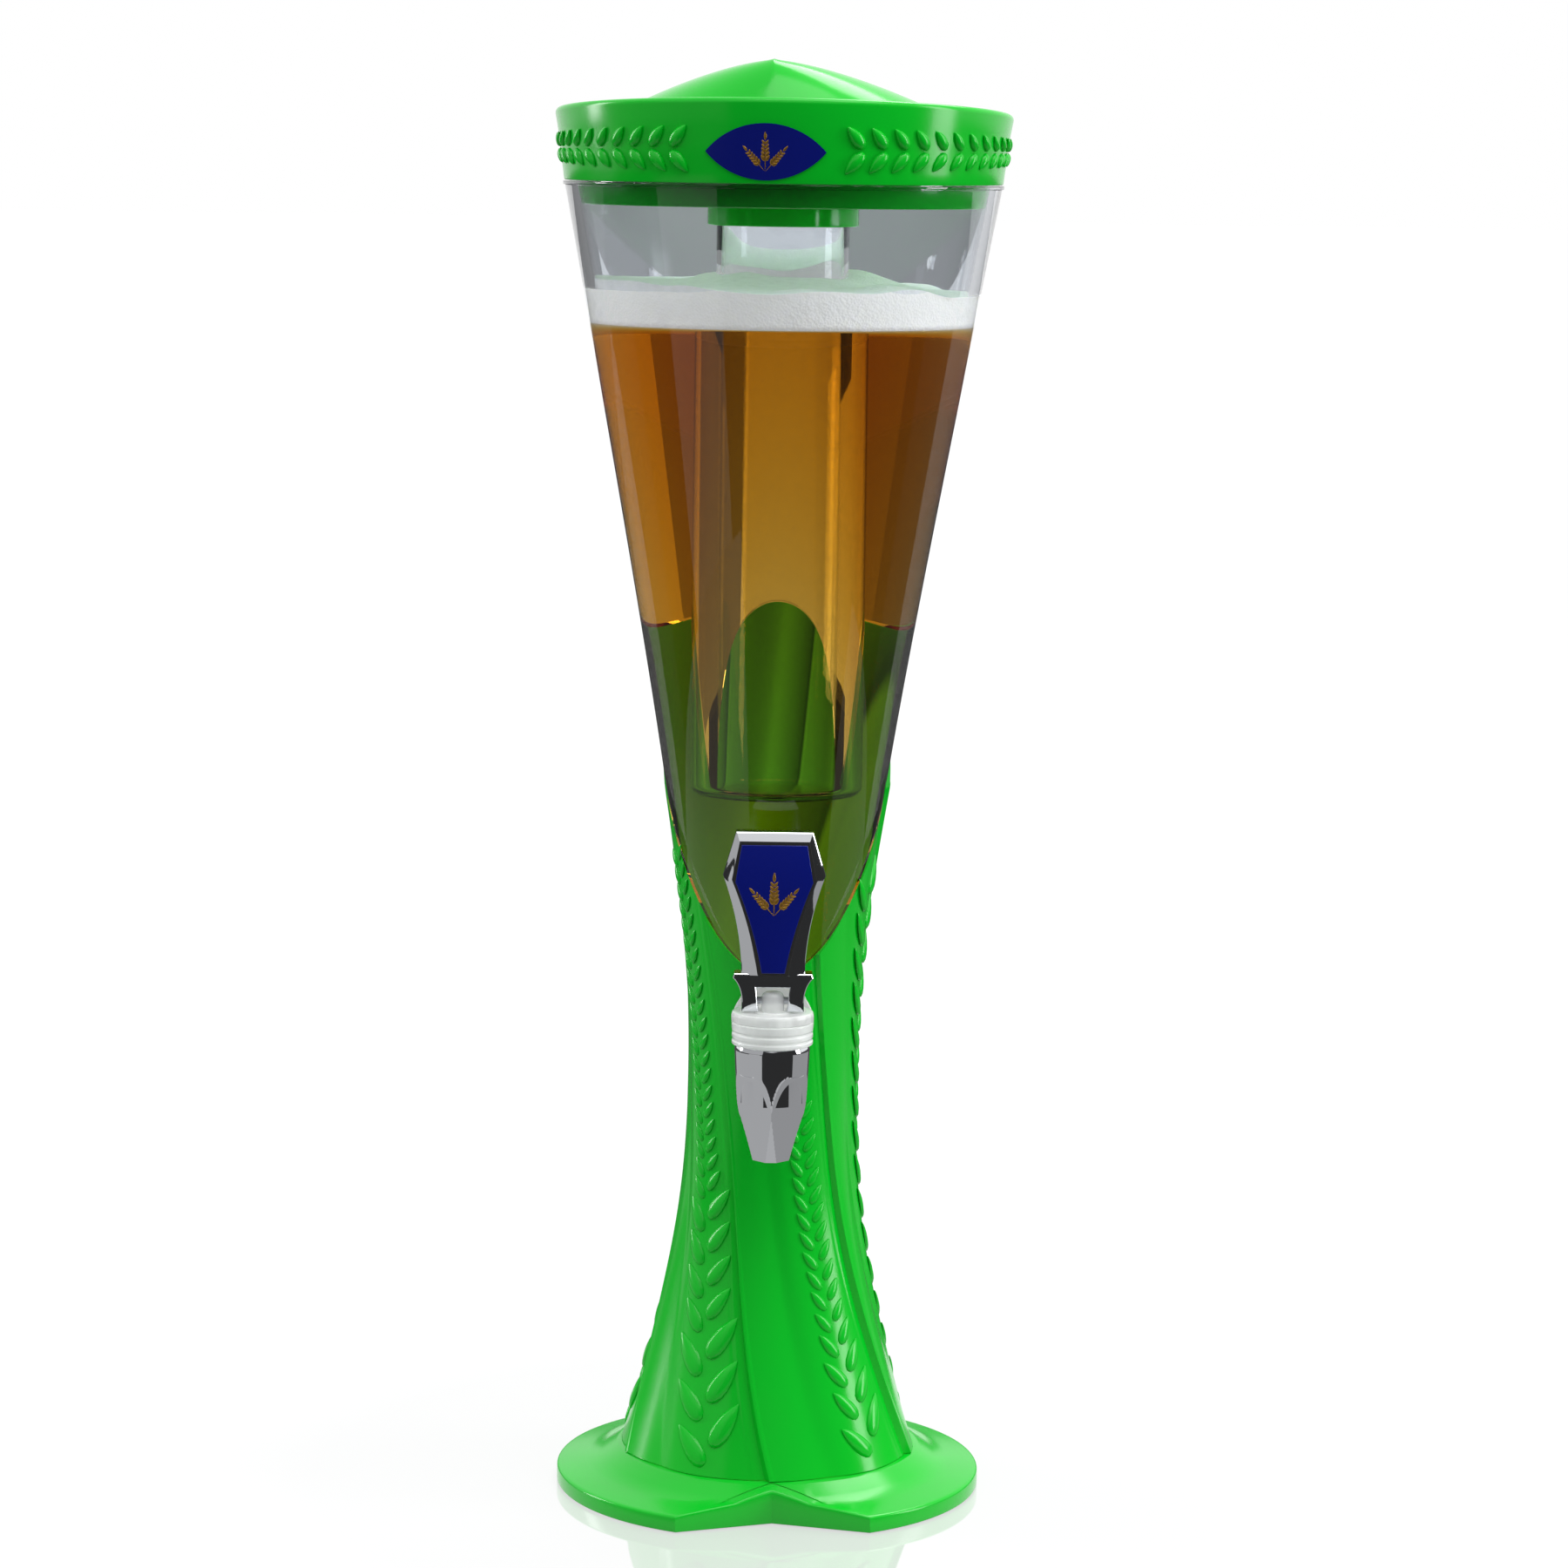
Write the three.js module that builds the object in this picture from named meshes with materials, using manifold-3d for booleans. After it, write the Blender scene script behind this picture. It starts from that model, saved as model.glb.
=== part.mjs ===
// A beer tower dispenser: a clear cone cup with an ice tube, a twisted column, a round base and a tap.
// Millimetres, +Z up. The origin lies under the middle of the base, and the tap faces -Y.
// An azimuth is an angle about Z, measured from the tap towards +X.

import * as THREE from 'three';
import { mergeVertices } from 'three/addons/utils/BufferGeometryUtils.js';
import Module from 'manifold-3d';

const wasm = await Module();
wasm.setup();

// Fits that every piece shares
const GAP = 0.3;
const OVERRUN = 2;
const MERGE_DISTANCE = 0.0001;
const FINEST_DETAIL = 0.02;

// Counts of flat sides round the turned pieces
const BODY_SIDES = 40;
const TUBE_SIDES = 24;
const TAP_SIDES = 20;
const SCREW_SIDES = 10;

// The flared outline that the column and the cup share
const MOUTH_HEIGHT = 568;
const MOUTH_RADIUS = 93.2;
const WAIST_HEIGHT = 171;
const WAIST_RADIUS = 36.4;
const FOOT_RADIUS = 63.9;
const CONE_KNEE_SHARE = 0.257;
const FOOT_KNEE_SHARE = 0.437;
const KNEE_POWER = 2.5;

// Base: a hollow disc with a notch at the front, a cover, feet and screws
const BASE_RADIUS = 92.7;
const BASE_LIFT = 0.6;
const BASE_RIM_HEIGHT = 8;
const BASE_TOP_HEIGHT = 17.5;
const BASE_FLAT_RADIUS = 65.5;
const BASE_SLOPE_RADIUS = 76;
const BASE_SLOPE_SHARE = 0.3;
const BASE_EDGE = 2.4;
const BASE_WALL = 2.5;
const NOTCH_DEPTH = 22.7;
const NOTCH_HALF_DEG = 26.5;
const NOTCH_TURN_DEG = 2;
const NOTCH_REACH_SHARE = 1.4;
const COVER_THICKNESS = 2;
const COVER_CLEARANCE = 0.6;
const PAD_RADIUS = 8;
const PAD_HEIGHT = 2.6;
const PAD_PLACE_RADIUS = 72;
const PAD_COUNT = 4;
const COVER_SCREW_PLACE_RADIUS = 30;
const COVER_SCREW_COUNT = 3;

// Screws, which are all alike but for their length
const SCREW_RADIUS = 1.5;
const SCREW_HEAD_RADIUS = 2.9;
const SCREW_HEAD_HEIGHT = 1.9;
const SCREW_BOSS_RADIUS = 4.5;
const SCREW_GRIP = 12;

// Column: a thin shell with five twisted ridges, cut off on a slant that leaves the front low
const COLUMN_WALL = 2.6;
const COLUMN_RIM_ABOVE_TAP = 18.5;
const COLUMN_RIM_SWING = 78;
const COLUMN_SCREW_PLACE_RADIUS = 56;
const COLUMN_SCREW_COUNT = 4;
const RIDGE_COUNT = 5;
const RIDGE_HEIGHT = 1.8;
const TWIST_DEG = -47;
const TWIST_HEIGHT = 272;
const TWIST_POWER = 1.1;
const COLUMN_ROWS = 12;
const COLUMN_INNER_ROWS = 6;
const RIM_SOLVE_STEPS = 12;
// Height of the relief, as shares of the ridge height, from one ridge round to the next
const RELIEF_SHARES = [
  [0, 1],
  [0.1, 0.85],
  [0.32, -0.5],
  [0.45, 0.2],
  [0.6, 0.7],
  [0.8, 0.2],
  [0.9, -0.3],
  [1, 1],
];

// Cup: sits on the column's slanted rim, with its lower end inside the column
const CUP_LINING = 2;
const CUP_CLEARANCE = 0.5;
// Upright gap over the steep rim, about half of it across the rim
const CUP_SEAT_LIFT = 0.6;
const CUP_FLOOR_HEIGHT = 188;
const CUP_FLOOR_THICKNESS = 3;
const CUP_CORNER = 4;
const CUP_NECK_HEIGHT = 17;
const CUP_BEAD_HEIGHT = 1.8;
const CUP_BEAD_STAND = 0.5;
const CUP_LOWER_ROWS = 6;
const CUP_UPPER_ROWS = 5;
const CUP_INNER_ROWS = 6;

// Ring round the mouth, with a top edge that is higher at the front
const RING_WALL = 2.3;
const RING_FLARE = 3.8;
const RING_TOP_RADIUS = MOUTH_RADIUS + RING_FLARE;
const RING_MIDDLE_HEIGHT = 29.4;
const RING_SWING = 5.4;
const RING_ROUND = 2.4;
const RING_INNER_CLEARANCE = 0.8;

// Turn of the ring's badge and of the dome's peak from the middle of the front
const CROWN_TURN_DEG = -4.5;

// Badge on the ring
const BADGE_WIDTH = 49;
const BADGE_HEIGHT = 23;
const BADGE_STAND = 0.8;
const BADGE_SUNK = 1.0;
const BADGE_MIDDLE = 13;
const BADGE_ARC_STEPS = 8;

// Lid: a flanged plug with a pointed dome over it
const SEAL_THICKNESS = 1.5;
const SEAL_WIDTH = 2;
const LID_FLANGE_INSET = 0.4;
const LID_FLANGE_RADIUS = MOUTH_RADIUS - LID_FLANGE_INSET;
const LID_FLANGE_THICKNESS = 2.5;
const LID_WALL = 2.5;
const LID_PLUG_DEPTH = 26.5;
const LID_PLUG_TAPER_DEPTH = 17;
const LID_PLUG_CLEARANCE = 0.5;
const DOME_RISE = 28.5;
const DOME_EDGE = 1.5;
const DOME_WALL = 2.4;
const DOME_INSET = 0.2;
const DOME_RADIUS = LID_FLANGE_RADIUS - DOME_INSET;
const DOME_SHOULDER = 12.6;
const DOME_FOOT_RADIUS = DOME_RADIUS - DOME_SHOULDER;
const DOME_PEAK_BACK = 26;
const DOME_PEAK_FORWARD = DOME_FOOT_RADIUS - DOME_PEAK_BACK;
const DOME_POWER = 1.435;
const DOME_RIDGE = 4;
const DOME_RIDGE_FALL = 3.2;
const DOME_ROW_SHARES = [0.1, 0.24, 0.4, 0.58, 0.78, 1];
const DOME_INNER_ROW_SHARES = [0.24, 0.58, 1];
const DOME_SLANT_SHARE = 1.3;

// Ice tube and the bayonet hub that holds it under the lid
const TUBE_RADIUS = 28.3;
const TUBE_WALL = 2.5;
const TUBE_BOTTOM_HEIGHT = 307;
const TUBE_CORNER = 5;
const TUBE_LUG_STAND = 1.5;
const TUBE_LUG_HEIGHT = 3.1;
const HUB_RADIUS = 32.3;
const HUB_HEIGHT = 8.2;
const HUB_LIP_HEIGHT = 2.6;
const HUB_CLEARANCE = 0.4;
const HUB_SLOT_WIDTH = 4;
const HUB_SLOT_DEPTH = 0.9;
const HUB_SLOT_COUNT = 6;
const LUG_COUNT = 3;
const LUG_DEG = 50;
const LUG_STEPS = 5;
const TUBE_SEAL_THICKNESS = 1.4;

// Tap body, its shank through the column and the cup, and what seals and clamps it
const TAP_RISE = 25.5;
const TAP_HEIGHT = CUP_FLOOR_HEIGHT + TAP_RISE;
const TAP_FORWARD = 65;
const SHANK_RADIUS = 8;
const SHANK_TAIL = 3;
const BORE_RADIUS = 2.8;
const NECK_RADIUS = 4.4;
const FLANGE_RADIUS = 17.5;
const FLANGE_THICKNESS = 2.5;
const GASKET_RADIUS = 16.8;
const GASKET_STAND = 6.3;
const INNER_GASKET_RADIUS = 12.5;
const INNER_GASKET_THICKNESS = 4;
const NUT_RADIUS = 14;
const NUT_THICKNESS = 6;
const BARREL_RADIUS = 17.2;
const BARREL_BELOW = 4.9;
const BARREL_ABOVE = 4.5;
const BARREL_EDGE = 0.8;
const CHAMBER_RADIUS = 11;
const SPIGOT_RADIUS = 13;
const SPIGOT_LENGTH = 16;
const VALVE_SEAT_DROP = 13.5;
const OUTLET_RADIUS = 4.5;

// Bonnet, stem and the rubber cup that shuts the outlet
const BONNET_RADIUS = 17.5;
const BONNET_THICKNESS = 4.3;
const BONNET_PLUG_LENGTH = 2;
const BONNET_ROUND = 1.2;
const STEM_RADIUS = 4.8;
const STEM_FOOT_RADIUS = 7;
const STEM_FOOT_HEIGHT = 1.7;
const SEAT_CUP_RADIUS = 8.5;
const SEAT_CUP_HEIGHT = 5.7;
const STEM_TOP_STAND = 3.8;

// Nozzle: a sleeve that narrows downwards, with four scooped flats
const NOZZLE_TOP_RADIUS = 16.2;
const NOZZLE_LENGTH = 49.6;
const NOZZLE_TIP_RADIUS = 8.6;
const NOZZLE_BORE_RADIUS = 5.5;
const NOZZLE_FLAT_COUNT = 4;
const NOZZLE_FLAT_TIP_RADIUS = 7.2;
const NOZZLE_FLAT_TOP_SHARE = 0.365;
const NOZZLE_OUTLINE_SHARES = [
  [1, 0],
  [0.97, 0.3],
  [0.93, 0.55],
  [0.8, 0.76],
];

// Handle: a fork on the stem's pin with a shield-shaped paddle above it
const PIN_ABOVE_BONNET = 4.4;
const PIN_RADIUS = 1.5;
const FORK_HALF_WIDTH = 13.2;
const FORK_SLOT_HALF = 5.9;
const FORK_SLOT_TOP_HALF = 7;
const FORK_SLOT_HEIGHT = 10.4;
const FORK_HALF_DEPTH = 4.8;
const EAR_HALF_WIDTH = 17;
const EAR_HEIGHT = 14.6;
const EAR_THICKNESS = 2;
const PADDLE_LENGTH = 60;
const PADDLE_NECK_HALF = 13.4;
const PADDLE_SHOULDER_HALF = 21.6;
const PADDLE_SHOULDER_DROP = 18.5;
const PADDLE_TOP_HALF = 16.2;
const PADDLE_HALF_DEPTH = 6;
const PADDLE_BEVEL = 2.2;
const PADDLE_WAIST_SHARE = 0.78;
const CURVE_STEPS = 6;
const INSET_TOP_HALF = 14.6;
const INSET_TOP_DROP = 5;
const INSET_SHOULDER_HALF = 16.8;
const INSET_SHOULDER_DROP = 21;
const INSET_BOTTOM_HALF = 4.9;
const INSET_THICKNESS = 1.6;
const INSET_STAND = 0.3;

// Colours and finishes
const finish = (color, roughness, metalness = 0) =>
  new THREE.MeshStandardMaterial({ color, roughness, metalness });
const clear = (color, opacity) =>
  new THREE.MeshStandardMaterial({ color, roughness: 0.08, metalness: 0, transparent: true, opacity });
const materials = {
  green: finish(0x10c23a, 0.22),
  dark: finish(0x0c3a18, 0.6),
  rubber: finish(0x1c1c1c, 0.85),
  steel: finish(0xa8abb0, 0.35, 1),
  chrome: finish(0xd8dade, 0.06, 1),
  navy: finish(0x050f52, 0.25),
  silicone: finish(0xd9dcd6, 0.55),
  cup: clear(0xe6edf0, 0.3),
  tap: clear(0xf0f3f2, 0.45),
};

const tower = new THREE.Group();
const { degToRad } = THREE.MathUtils;
const FULL_TURN = 2 * Math.PI;

// A closed geometry becomes a solid whose faces point outwards
function solid(geometry) {
  const bare = geometry.clone();
  bare.deleteAttribute('normal');
  bare.deleteAttribute('uv');
  const merged = mergeVertices(bare, MERGE_DISTANCE);
  const points = merged.attributes.position.array;
  const corner = (i) => new THREE.Vector3().fromArray(points, i * 3);
  const faces = [];
  let volume = 0;
  for (let i = 0; i < merged.index.count; i += 3) {
    const [a, b, c] = merged.index.array.slice(i, i + 3);
    if (a === b || b === c || c === a) continue;
    faces.push(a, b, c);
    volume += corner(a).dot(corner(b).cross(corner(c)));
  }
  if (volume < 0) faces.reverse();
  const mesh = new wasm.Mesh({
    numProp: 3,
    vertProperties: Float32Array.from(points),
    triVerts: Uint32Array.from(faces),
  });
  return new wasm.Manifold(mesh);
}

// One named piece of the tower
function piece(name, body, material) {
  const { vertProperties, triVerts } = body.simplify(FINEST_DETAIL).getMesh();
  const geometry = new THREE.BufferGeometry();
  geometry.setAttribute('position', new THREE.BufferAttribute(Float32Array.from(vertProperties), 3));
  geometry.setIndex(new THREE.BufferAttribute(Uint32Array.from(triVerts), 1));
  geometry.computeVertexNormals();
  const mesh = new THREE.Mesh(geometry, material);
  mesh.name = name;
  tower.add(mesh);
  return mesh;
}

// A turned shape about Z from [radius, height] points
function turned(outline, sides) {
  const points = outline.map(([radius, height]) => new THREE.Vector2(radius, height));
  return new THREE.LatheGeometry(points, sides).rotateX(Math.PI / 2);
}

// A closed ring or, with no inner radius, a disc
function ringOutline(inner, outer, low, high) {
  const start = [inner, low];
  return [start, [outer, low], [outer, high], [inner, high], ...(inner > 0 ? [start] : [])];
}

function ringSolid(inner, outer, low, high, sides) {
  return solid(turned(ringOutline(inner, outer, low, high), sides));
}

// The same about the tap's level axis: heights in the outline become distances forward of the column's axis
function forwardSolid(outline, sides) {
  return solid(turned(outline, sides).rotateX(Math.PI / 2).translate(0, 0, TAP_HEIGHT));
}

function place(radius, azimuth, height) {
  return new THREE.Vector3(radius * Math.sin(azimuth), -radius * Math.cos(azimuth), height);
}

// Joins rows of points into one closed skin. A row of one point is a pole; without poles the rows close on
// themselves.
function loft(rows) {
  const starts = [];
  let total = 0;
  for (const row of rows) {
    starts.push(total);
    total += row.length;
  }
  const faces = [];
  const spans = rows[0].length === 1 ? rows.length - 1 : rows.length;
  for (let i = 0; i < spans; i++) {
    const j = (i + 1) % rows.length;
    const [here, there] = [rows[i].length, rows[j].length];
    const count = Math.max(here, there);
    const at = (row, k) => starts[row] + (rows[row].length > 1 ? k % count : 0);
    for (let k = 0; k < count; k++) {
      if (here > 1) faces.push(at(i, k), at(i, k + 1), at(j, k + 1));
      if (there > 1) faces.push(at(i, k), at(j, k + 1), at(j, k));
    }
  }
  const geometry = new THREE.BufferGeometry().setFromPoints(rows.flat());
  geometry.setIndex(faces);
  return geometry;
}

// One row of a loft, from a function of azimuth that gives a radius and a height
function row(sides, spot) {
  const points = [];
  for (let k = 0; k < sides; k++) {
    const azimuth = (k / sides) * FULL_TURN;
    const [radius, height, turn = azimuth] = spot(azimuth);
    points.push(place(radius, turn, height));
  }
  return points;
}

const pole = (height) => [new THREE.Vector3(0, 0, height)];
const spread = (count) => Array.from({ length: count + 1 }, (_, i) => i / count);

// A soft knee: flat at 0, then straight, reaching 1 at 1
function knee(share, kneeShare) {
  const root = (value) => (kneeShare ** KNEE_POWER + value ** KNEE_POWER) ** (1 / KNEE_POWER) - kneeShare;
  return root(Math.max(share, 0)) / root(1);
}

const columnFoot = BASE_TOP_HEIGHT + GAP;
const rimMiddle = TAP_HEIGHT + COLUMN_RIM_ABOVE_TAP + COLUMN_RIM_SWING;

// Outer radius of the column and of the cup above it, at a height
function bodyRadius(height) {
  if (height > WAIST_HEIGHT) {
    const share = (height - WAIST_HEIGHT) / (MOUTH_HEIGHT - WAIST_HEIGHT);
    return WAIST_RADIUS + (MOUTH_RADIUS - WAIST_RADIUS) * knee(share, CONE_KNEE_SHARE);
  }
  const share = (WAIST_HEIGHT - height) / (WAIST_HEIGHT - columnFoot);
  return WAIST_RADIUS + (FOOT_RADIUS - WAIST_RADIUS) * knee(share, FOOT_KNEE_SHARE);
}

const columnInnerRadius = (height) => bodyRadius(height) - COLUMN_WALL;
const cupLowerRadius = (height) => columnInnerRadius(height) - CUP_CLEARANCE;
const cupInnerRadius = (height) => cupLowerRadius(Math.min(height, MOUTH_HEIGHT)) - CUP_LINING;
const rimHeight = (azimuth) => rimMiddle - COLUMN_RIM_SWING * Math.cos(azimuth);

function twist(height) {
  return degToRad(TWIST_DEG) * Math.max(height / TWIST_HEIGHT, 0) ** TWIST_POWER;
}

// Relief of the column at a share of the way from one ridge to the next
function relief(share) {
  const next = RELIEF_SHARES.findIndex(([end]) => end >= share);
  const [endShare, endHeight] = RELIEF_SHARES[Math.max(next, 1)];
  const [startShare, startHeight] = RELIEF_SHARES[Math.max(next, 1) - 1];
  const along = (share - startShare) / (endShare - startShare);
  return RIDGE_HEIGHT * (startHeight + (endHeight - startHeight) * along);
}

// Screw with its head down, so that it is driven in from below
function screw(name, position, headUnderside, length) {
  const outline = [
    [0, -SCREW_HEAD_HEIGHT],
    [SCREW_HEAD_RADIUS, -SCREW_HEAD_HEIGHT],
    [SCREW_HEAD_RADIUS, 0],
    [SCREW_RADIUS, 0],
    [SCREW_RADIUS, length - SCREW_RADIUS],
    [0, length],
  ];
  const body = solid(turned(outline, SCREW_SIDES)).translate([position.x, position.y, headUnderside]);
  piece(name, body, materials.steel);
}

function post(position, radius, low, high) {
  return ringSolid(0, radius, low, high, SCREW_SIDES).translate([position.x, position.y, 0]);
}

function around(count, radius, startShare) {
  return Array.from({ length: count }, (_, i) => place(radius, ((i + startShare) / count) * FULL_TURN, 0));
}

const padPlaces = around(PAD_COUNT, PAD_PLACE_RADIUS, 0.5);
const coverScrewPlaces = around(COVER_SCREW_COUNT, COVER_SCREW_PLACE_RADIUS, 0.5);
const columnScrewPlaces = around(COLUMN_SCREW_COUNT, COLUMN_SCREW_PLACE_RADIUS, 0.5);
const coverTop = PAD_HEIGHT + COVER_THICKNESS;

// Prism that cuts the front notch, grown by an inset for the inner pieces
function notchPrism(inset) {
  const half = degToRad(NOTCH_HALF_DEG);
  const vertex = new THREE.Vector2(0, -(BASE_RADIUS - NOTCH_DEPTH));
  const cornerPoint = new THREE.Vector2(BASE_RADIUS * Math.sin(half), -BASE_RADIUS * Math.cos(half));
  const edge = cornerPoint.clone().sub(vertex);
  const back = inset / (edge.x / edge.length());
  const outer = vertex.clone().addScaledVector(edge, NOTCH_REACH_SHARE);
  const shape = new THREE.Shape();
  shape.moveTo(0, vertex.y + back);
  shape.lineTo(-outer.x, outer.y + back);
  shape.lineTo(-outer.x, -BASE_RADIUS - NOTCH_DEPTH);
  shape.lineTo(outer.x, -BASE_RADIUS - NOTCH_DEPTH);
  shape.lineTo(outer.x, outer.y + back);
  const depth = BASE_TOP_HEIGHT + 2 * OVERRUN;
  const prism = new THREE.ExtrudeGeometry(shape, { depth, bevelEnabled: false });
  return solid(prism.translate(0, 0, -OVERRUN).rotateZ(degToRad(NOTCH_TURN_DEG)));
}

function baseOutline(inset, edge, low, top, rim) {
  const radius = BASE_RADIUS - inset;
  const slopeHeight = rim + (top - rim) * BASE_SLOPE_SHARE;
  return [
    [0, low],
    [radius, low],
    [radius, rim - edge],
    [radius - edge * (1 - Math.SQRT1_2), rim - edge * (1 - Math.SQRT1_2)],
    [radius - edge, rim],
    [BASE_SLOPE_RADIUS, slopeHeight],
    [BASE_FLAT_RADIUS, top],
    [0, top],
  ];
}

function makeBase() {
  const outline = baseOutline(0, BASE_EDGE, BASE_LIFT, BASE_TOP_HEIGHT, BASE_RIM_HEIGHT);
  const outside = solid(turned(outline, BODY_SIDES));
  const roof = BASE_TOP_HEIGHT - BASE_WALL;
  const hollow = baseOutline(BASE_WALL, GAP, BASE_LIFT - OVERRUN, roof, BASE_RIM_HEIGHT - BASE_WALL);
  const inside = solid(turned(hollow, BODY_SIDES)).subtract(notchPrism(BASE_WALL));
  let shell = outside.subtract(notchPrism(0)).subtract(inside);
  for (const position of coverScrewPlaces) {
    shell = shell.add(post(position, SCREW_BOSS_RADIUS, coverTop + GAP, BASE_TOP_HEIGHT - GAP));
    const drill = post(position, SCREW_RADIUS + GAP, coverTop - OVERRUN, roof);
    shell = shell.subtract(drill);
  }
  for (const position of columnScrewPlaces) {
    shell = shell.subtract(post(position, SCREW_RADIUS + GAP, roof - OVERRUN, BASE_TOP_HEIGHT + OVERRUN));
  }
  piece('base_shell', shell, materials.green);

  const coverRadius = BASE_RADIUS - BASE_WALL - COVER_CLEARANCE;
  let cover = ringSolid(0, coverRadius, PAD_HEIGHT, coverTop, BODY_SIDES);
  cover = cover.subtract(notchPrism(BASE_WALL + COVER_CLEARANCE));
  for (const position of coverScrewPlaces) {
    cover = cover.subtract(post(position, SCREW_RADIUS + GAP, PAD_HEIGHT - OVERRUN, coverTop + OVERRUN));
  }
  piece('base_cover', cover, materials.dark);

  const pad = ringSolid(0, PAD_RADIUS, 0, PAD_HEIGHT - GAP, SCREW_SIDES * 2);
  padPlaces.forEach((position, i) => {
    piece(`foot_pad_${i + 1}`, pad.translate([position.x, position.y, 0]), materials.rubber);
  });
  coverScrewPlaces.forEach((position, i) => {
    screw(`cover_screw_${i + 1}`, position, PAD_HEIGHT - GAP, roof - PAD_HEIGHT - OVERRUN);
  });
  columnScrewPlaces.forEach((position, i) => {
    screw(`column_screw_${i + 1}`, position, roof - GAP, BASE_WALL + SCREW_GRIP);
  });
}

// Height on the column at a share of the way from its foot to its slanted rim, along one twisted line
function twistedHeight(share, line) {
  let height = columnFoot;
  for (let i = 0; i < RIM_SOLVE_STEPS; i++) {
    height = columnFoot + share * (rimHeight(line + twist(height)) - columnFoot);
  }
  return height;
}

// Azimuth at which one twisted line meets the rim
const rimTurn = (line) => line + twist(twistedHeight(1, line));

// The column's outer skin at a height on one twisted line
function columnSkin(height, line) {
  const pitch = FULL_TURN / RIDGE_COUNT;
  return bodyRadius(height) + relief((line % pitch) / pitch);
}

// What the tap's shank takes out of the column and the cup
const shankDrill = () => forwardSolid(ringOutline(0, SHANK_RADIUS + GAP, 0, TAP_FORWARD), TAP_SIDES);

function makeColumn() {
  const outerRows = spread(COLUMN_ROWS).map((share) => row(BODY_SIDES, (line) => {
    const height = twistedHeight(share, line);
    return [columnSkin(height, line), height, line + twist(height)];
  }));
  const innerRows = spread(COLUMN_INNER_ROWS).reverse().map((share) => row(BODY_SIDES, (line) => {
    const height = columnFoot + share * (rimHeight(rimTurn(line)) - columnFoot);
    return [columnInnerRadius(height), height, rimTurn(line)];
  }));
  let column = solid(loft([...outerRows, ...innerRows])).subtract(shankDrill());

  const footRows = spread(COLUMN_INNER_ROWS).map((share) => {
    const height = columnFoot + share * (WAIST_HEIGHT - columnFoot);
    return row(BODY_SIDES, () => [bodyRadius(height) - COLUMN_WALL / 2, height]);
  });
  const footCore = solid(loft([pole(columnFoot), ...footRows, pole(WAIST_HEIGHT)]));
  const postFoot = columnFoot + GAP;
  const gripTop = columnFoot + SCREW_GRIP;
  for (const position of columnScrewPlaces) {
    const grip = post(position, SCREW_BOSS_RADIUS, postFoot, gripTop + OVERRUN);
    column = column.add(grip.intersect(footCore));
    column = column.subtract(post(position, SCREW_RADIUS + GAP, columnFoot - OVERRUN, gripTop));
  }
  piece('column_shell', column, materials.green);
}

const neckRadius = MOUTH_RADIUS - RING_WALL - GAP;
const mouthTop = MOUTH_HEIGHT + CUP_NECK_HEIGHT;
const shoulderHeight = MOUTH_HEIGHT - GAP;

function makeCup() {
  const rows = [pole(CUP_FLOOR_HEIGHT)];
  const add = (spot) => rows.push(row(BODY_SIDES, spot));
  const cornerHeight = CUP_FLOOR_HEIGHT + CUP_CORNER;
  add(() => [cupLowerRadius(cornerHeight) - CUP_CORNER, CUP_FLOOR_HEIGHT]);
  const ledge = (line) => rimHeight(rimTurn(line)) + CUP_SEAT_LIFT;
  for (const share of spread(CUP_LOWER_ROWS)) {
    add((line) => {
      const height = cornerHeight + share * (ledge(line) - cornerHeight);
      return [cupLowerRadius(height), height, rimTurn(line)];
    });
  }
  const beadFoot = shoulderHeight - CUP_BEAD_HEIGHT;
  for (const share of spread(CUP_UPPER_ROWS)) {
    add((line) => {
      const height = ledge(line) + share * (beadFoot - ledge(line));
      return [bodyRadius(height), height, rimTurn(line) + share * (line - rimTurn(line))];
    });
  }
  add(() => [MOUTH_RADIUS + CUP_BEAD_STAND, beadFoot + CUP_BEAD_STAND]);
  add(() => [MOUTH_RADIUS + CUP_BEAD_STAND, shoulderHeight]);
  add(() => [neckRadius, shoulderHeight]);
  add(() => [neckRadius, mouthTop]);
  add(() => [cupInnerRadius(mouthTop), mouthTop]);
  const floorTop = CUP_FLOOR_HEIGHT + CUP_FLOOR_THICKNESS;
  const innerCorner = floorTop + CUP_CORNER;
  for (const share of spread(CUP_INNER_ROWS).reverse()) {
    const height = innerCorner + share * (MOUTH_HEIGHT - innerCorner);
    add(() => [cupInnerRadius(height), height]);
  }
  add(() => [cupInnerRadius(innerCorner) - CUP_CORNER, floorTop]);
  rows.push(pole(floorTop));
  piece('cup', solid(loft(rows)).subtract(shankDrill()), materials.cup);
}

const crownTurn = degToRad(CROWN_TURN_DEG);
const ringTop = (azimuth) => MOUTH_HEIGHT + RING_MIDDLE_HEIGHT + RING_SWING * Math.cos(azimuth - crownTurn);
const ringShelf = mouthTop + GAP;
const ringBoreRadius = LID_FLANGE_RADIUS + RING_INNER_CLEARANCE;

// Outer skin of the ring at a share of the way from its foot to its rounded edge, grown by a stand
function ringSkin(azimuth, share, stand) {
  const edgeHeight = ringTop(azimuth) - RING_ROUND;
  const radius = MOUTH_RADIUS + (RING_TOP_RADIUS - MOUTH_RADIUS) * share + stand;
  return [radius, MOUTH_HEIGHT + (edgeHeight - MOUTH_HEIGHT) * share];
}

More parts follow.
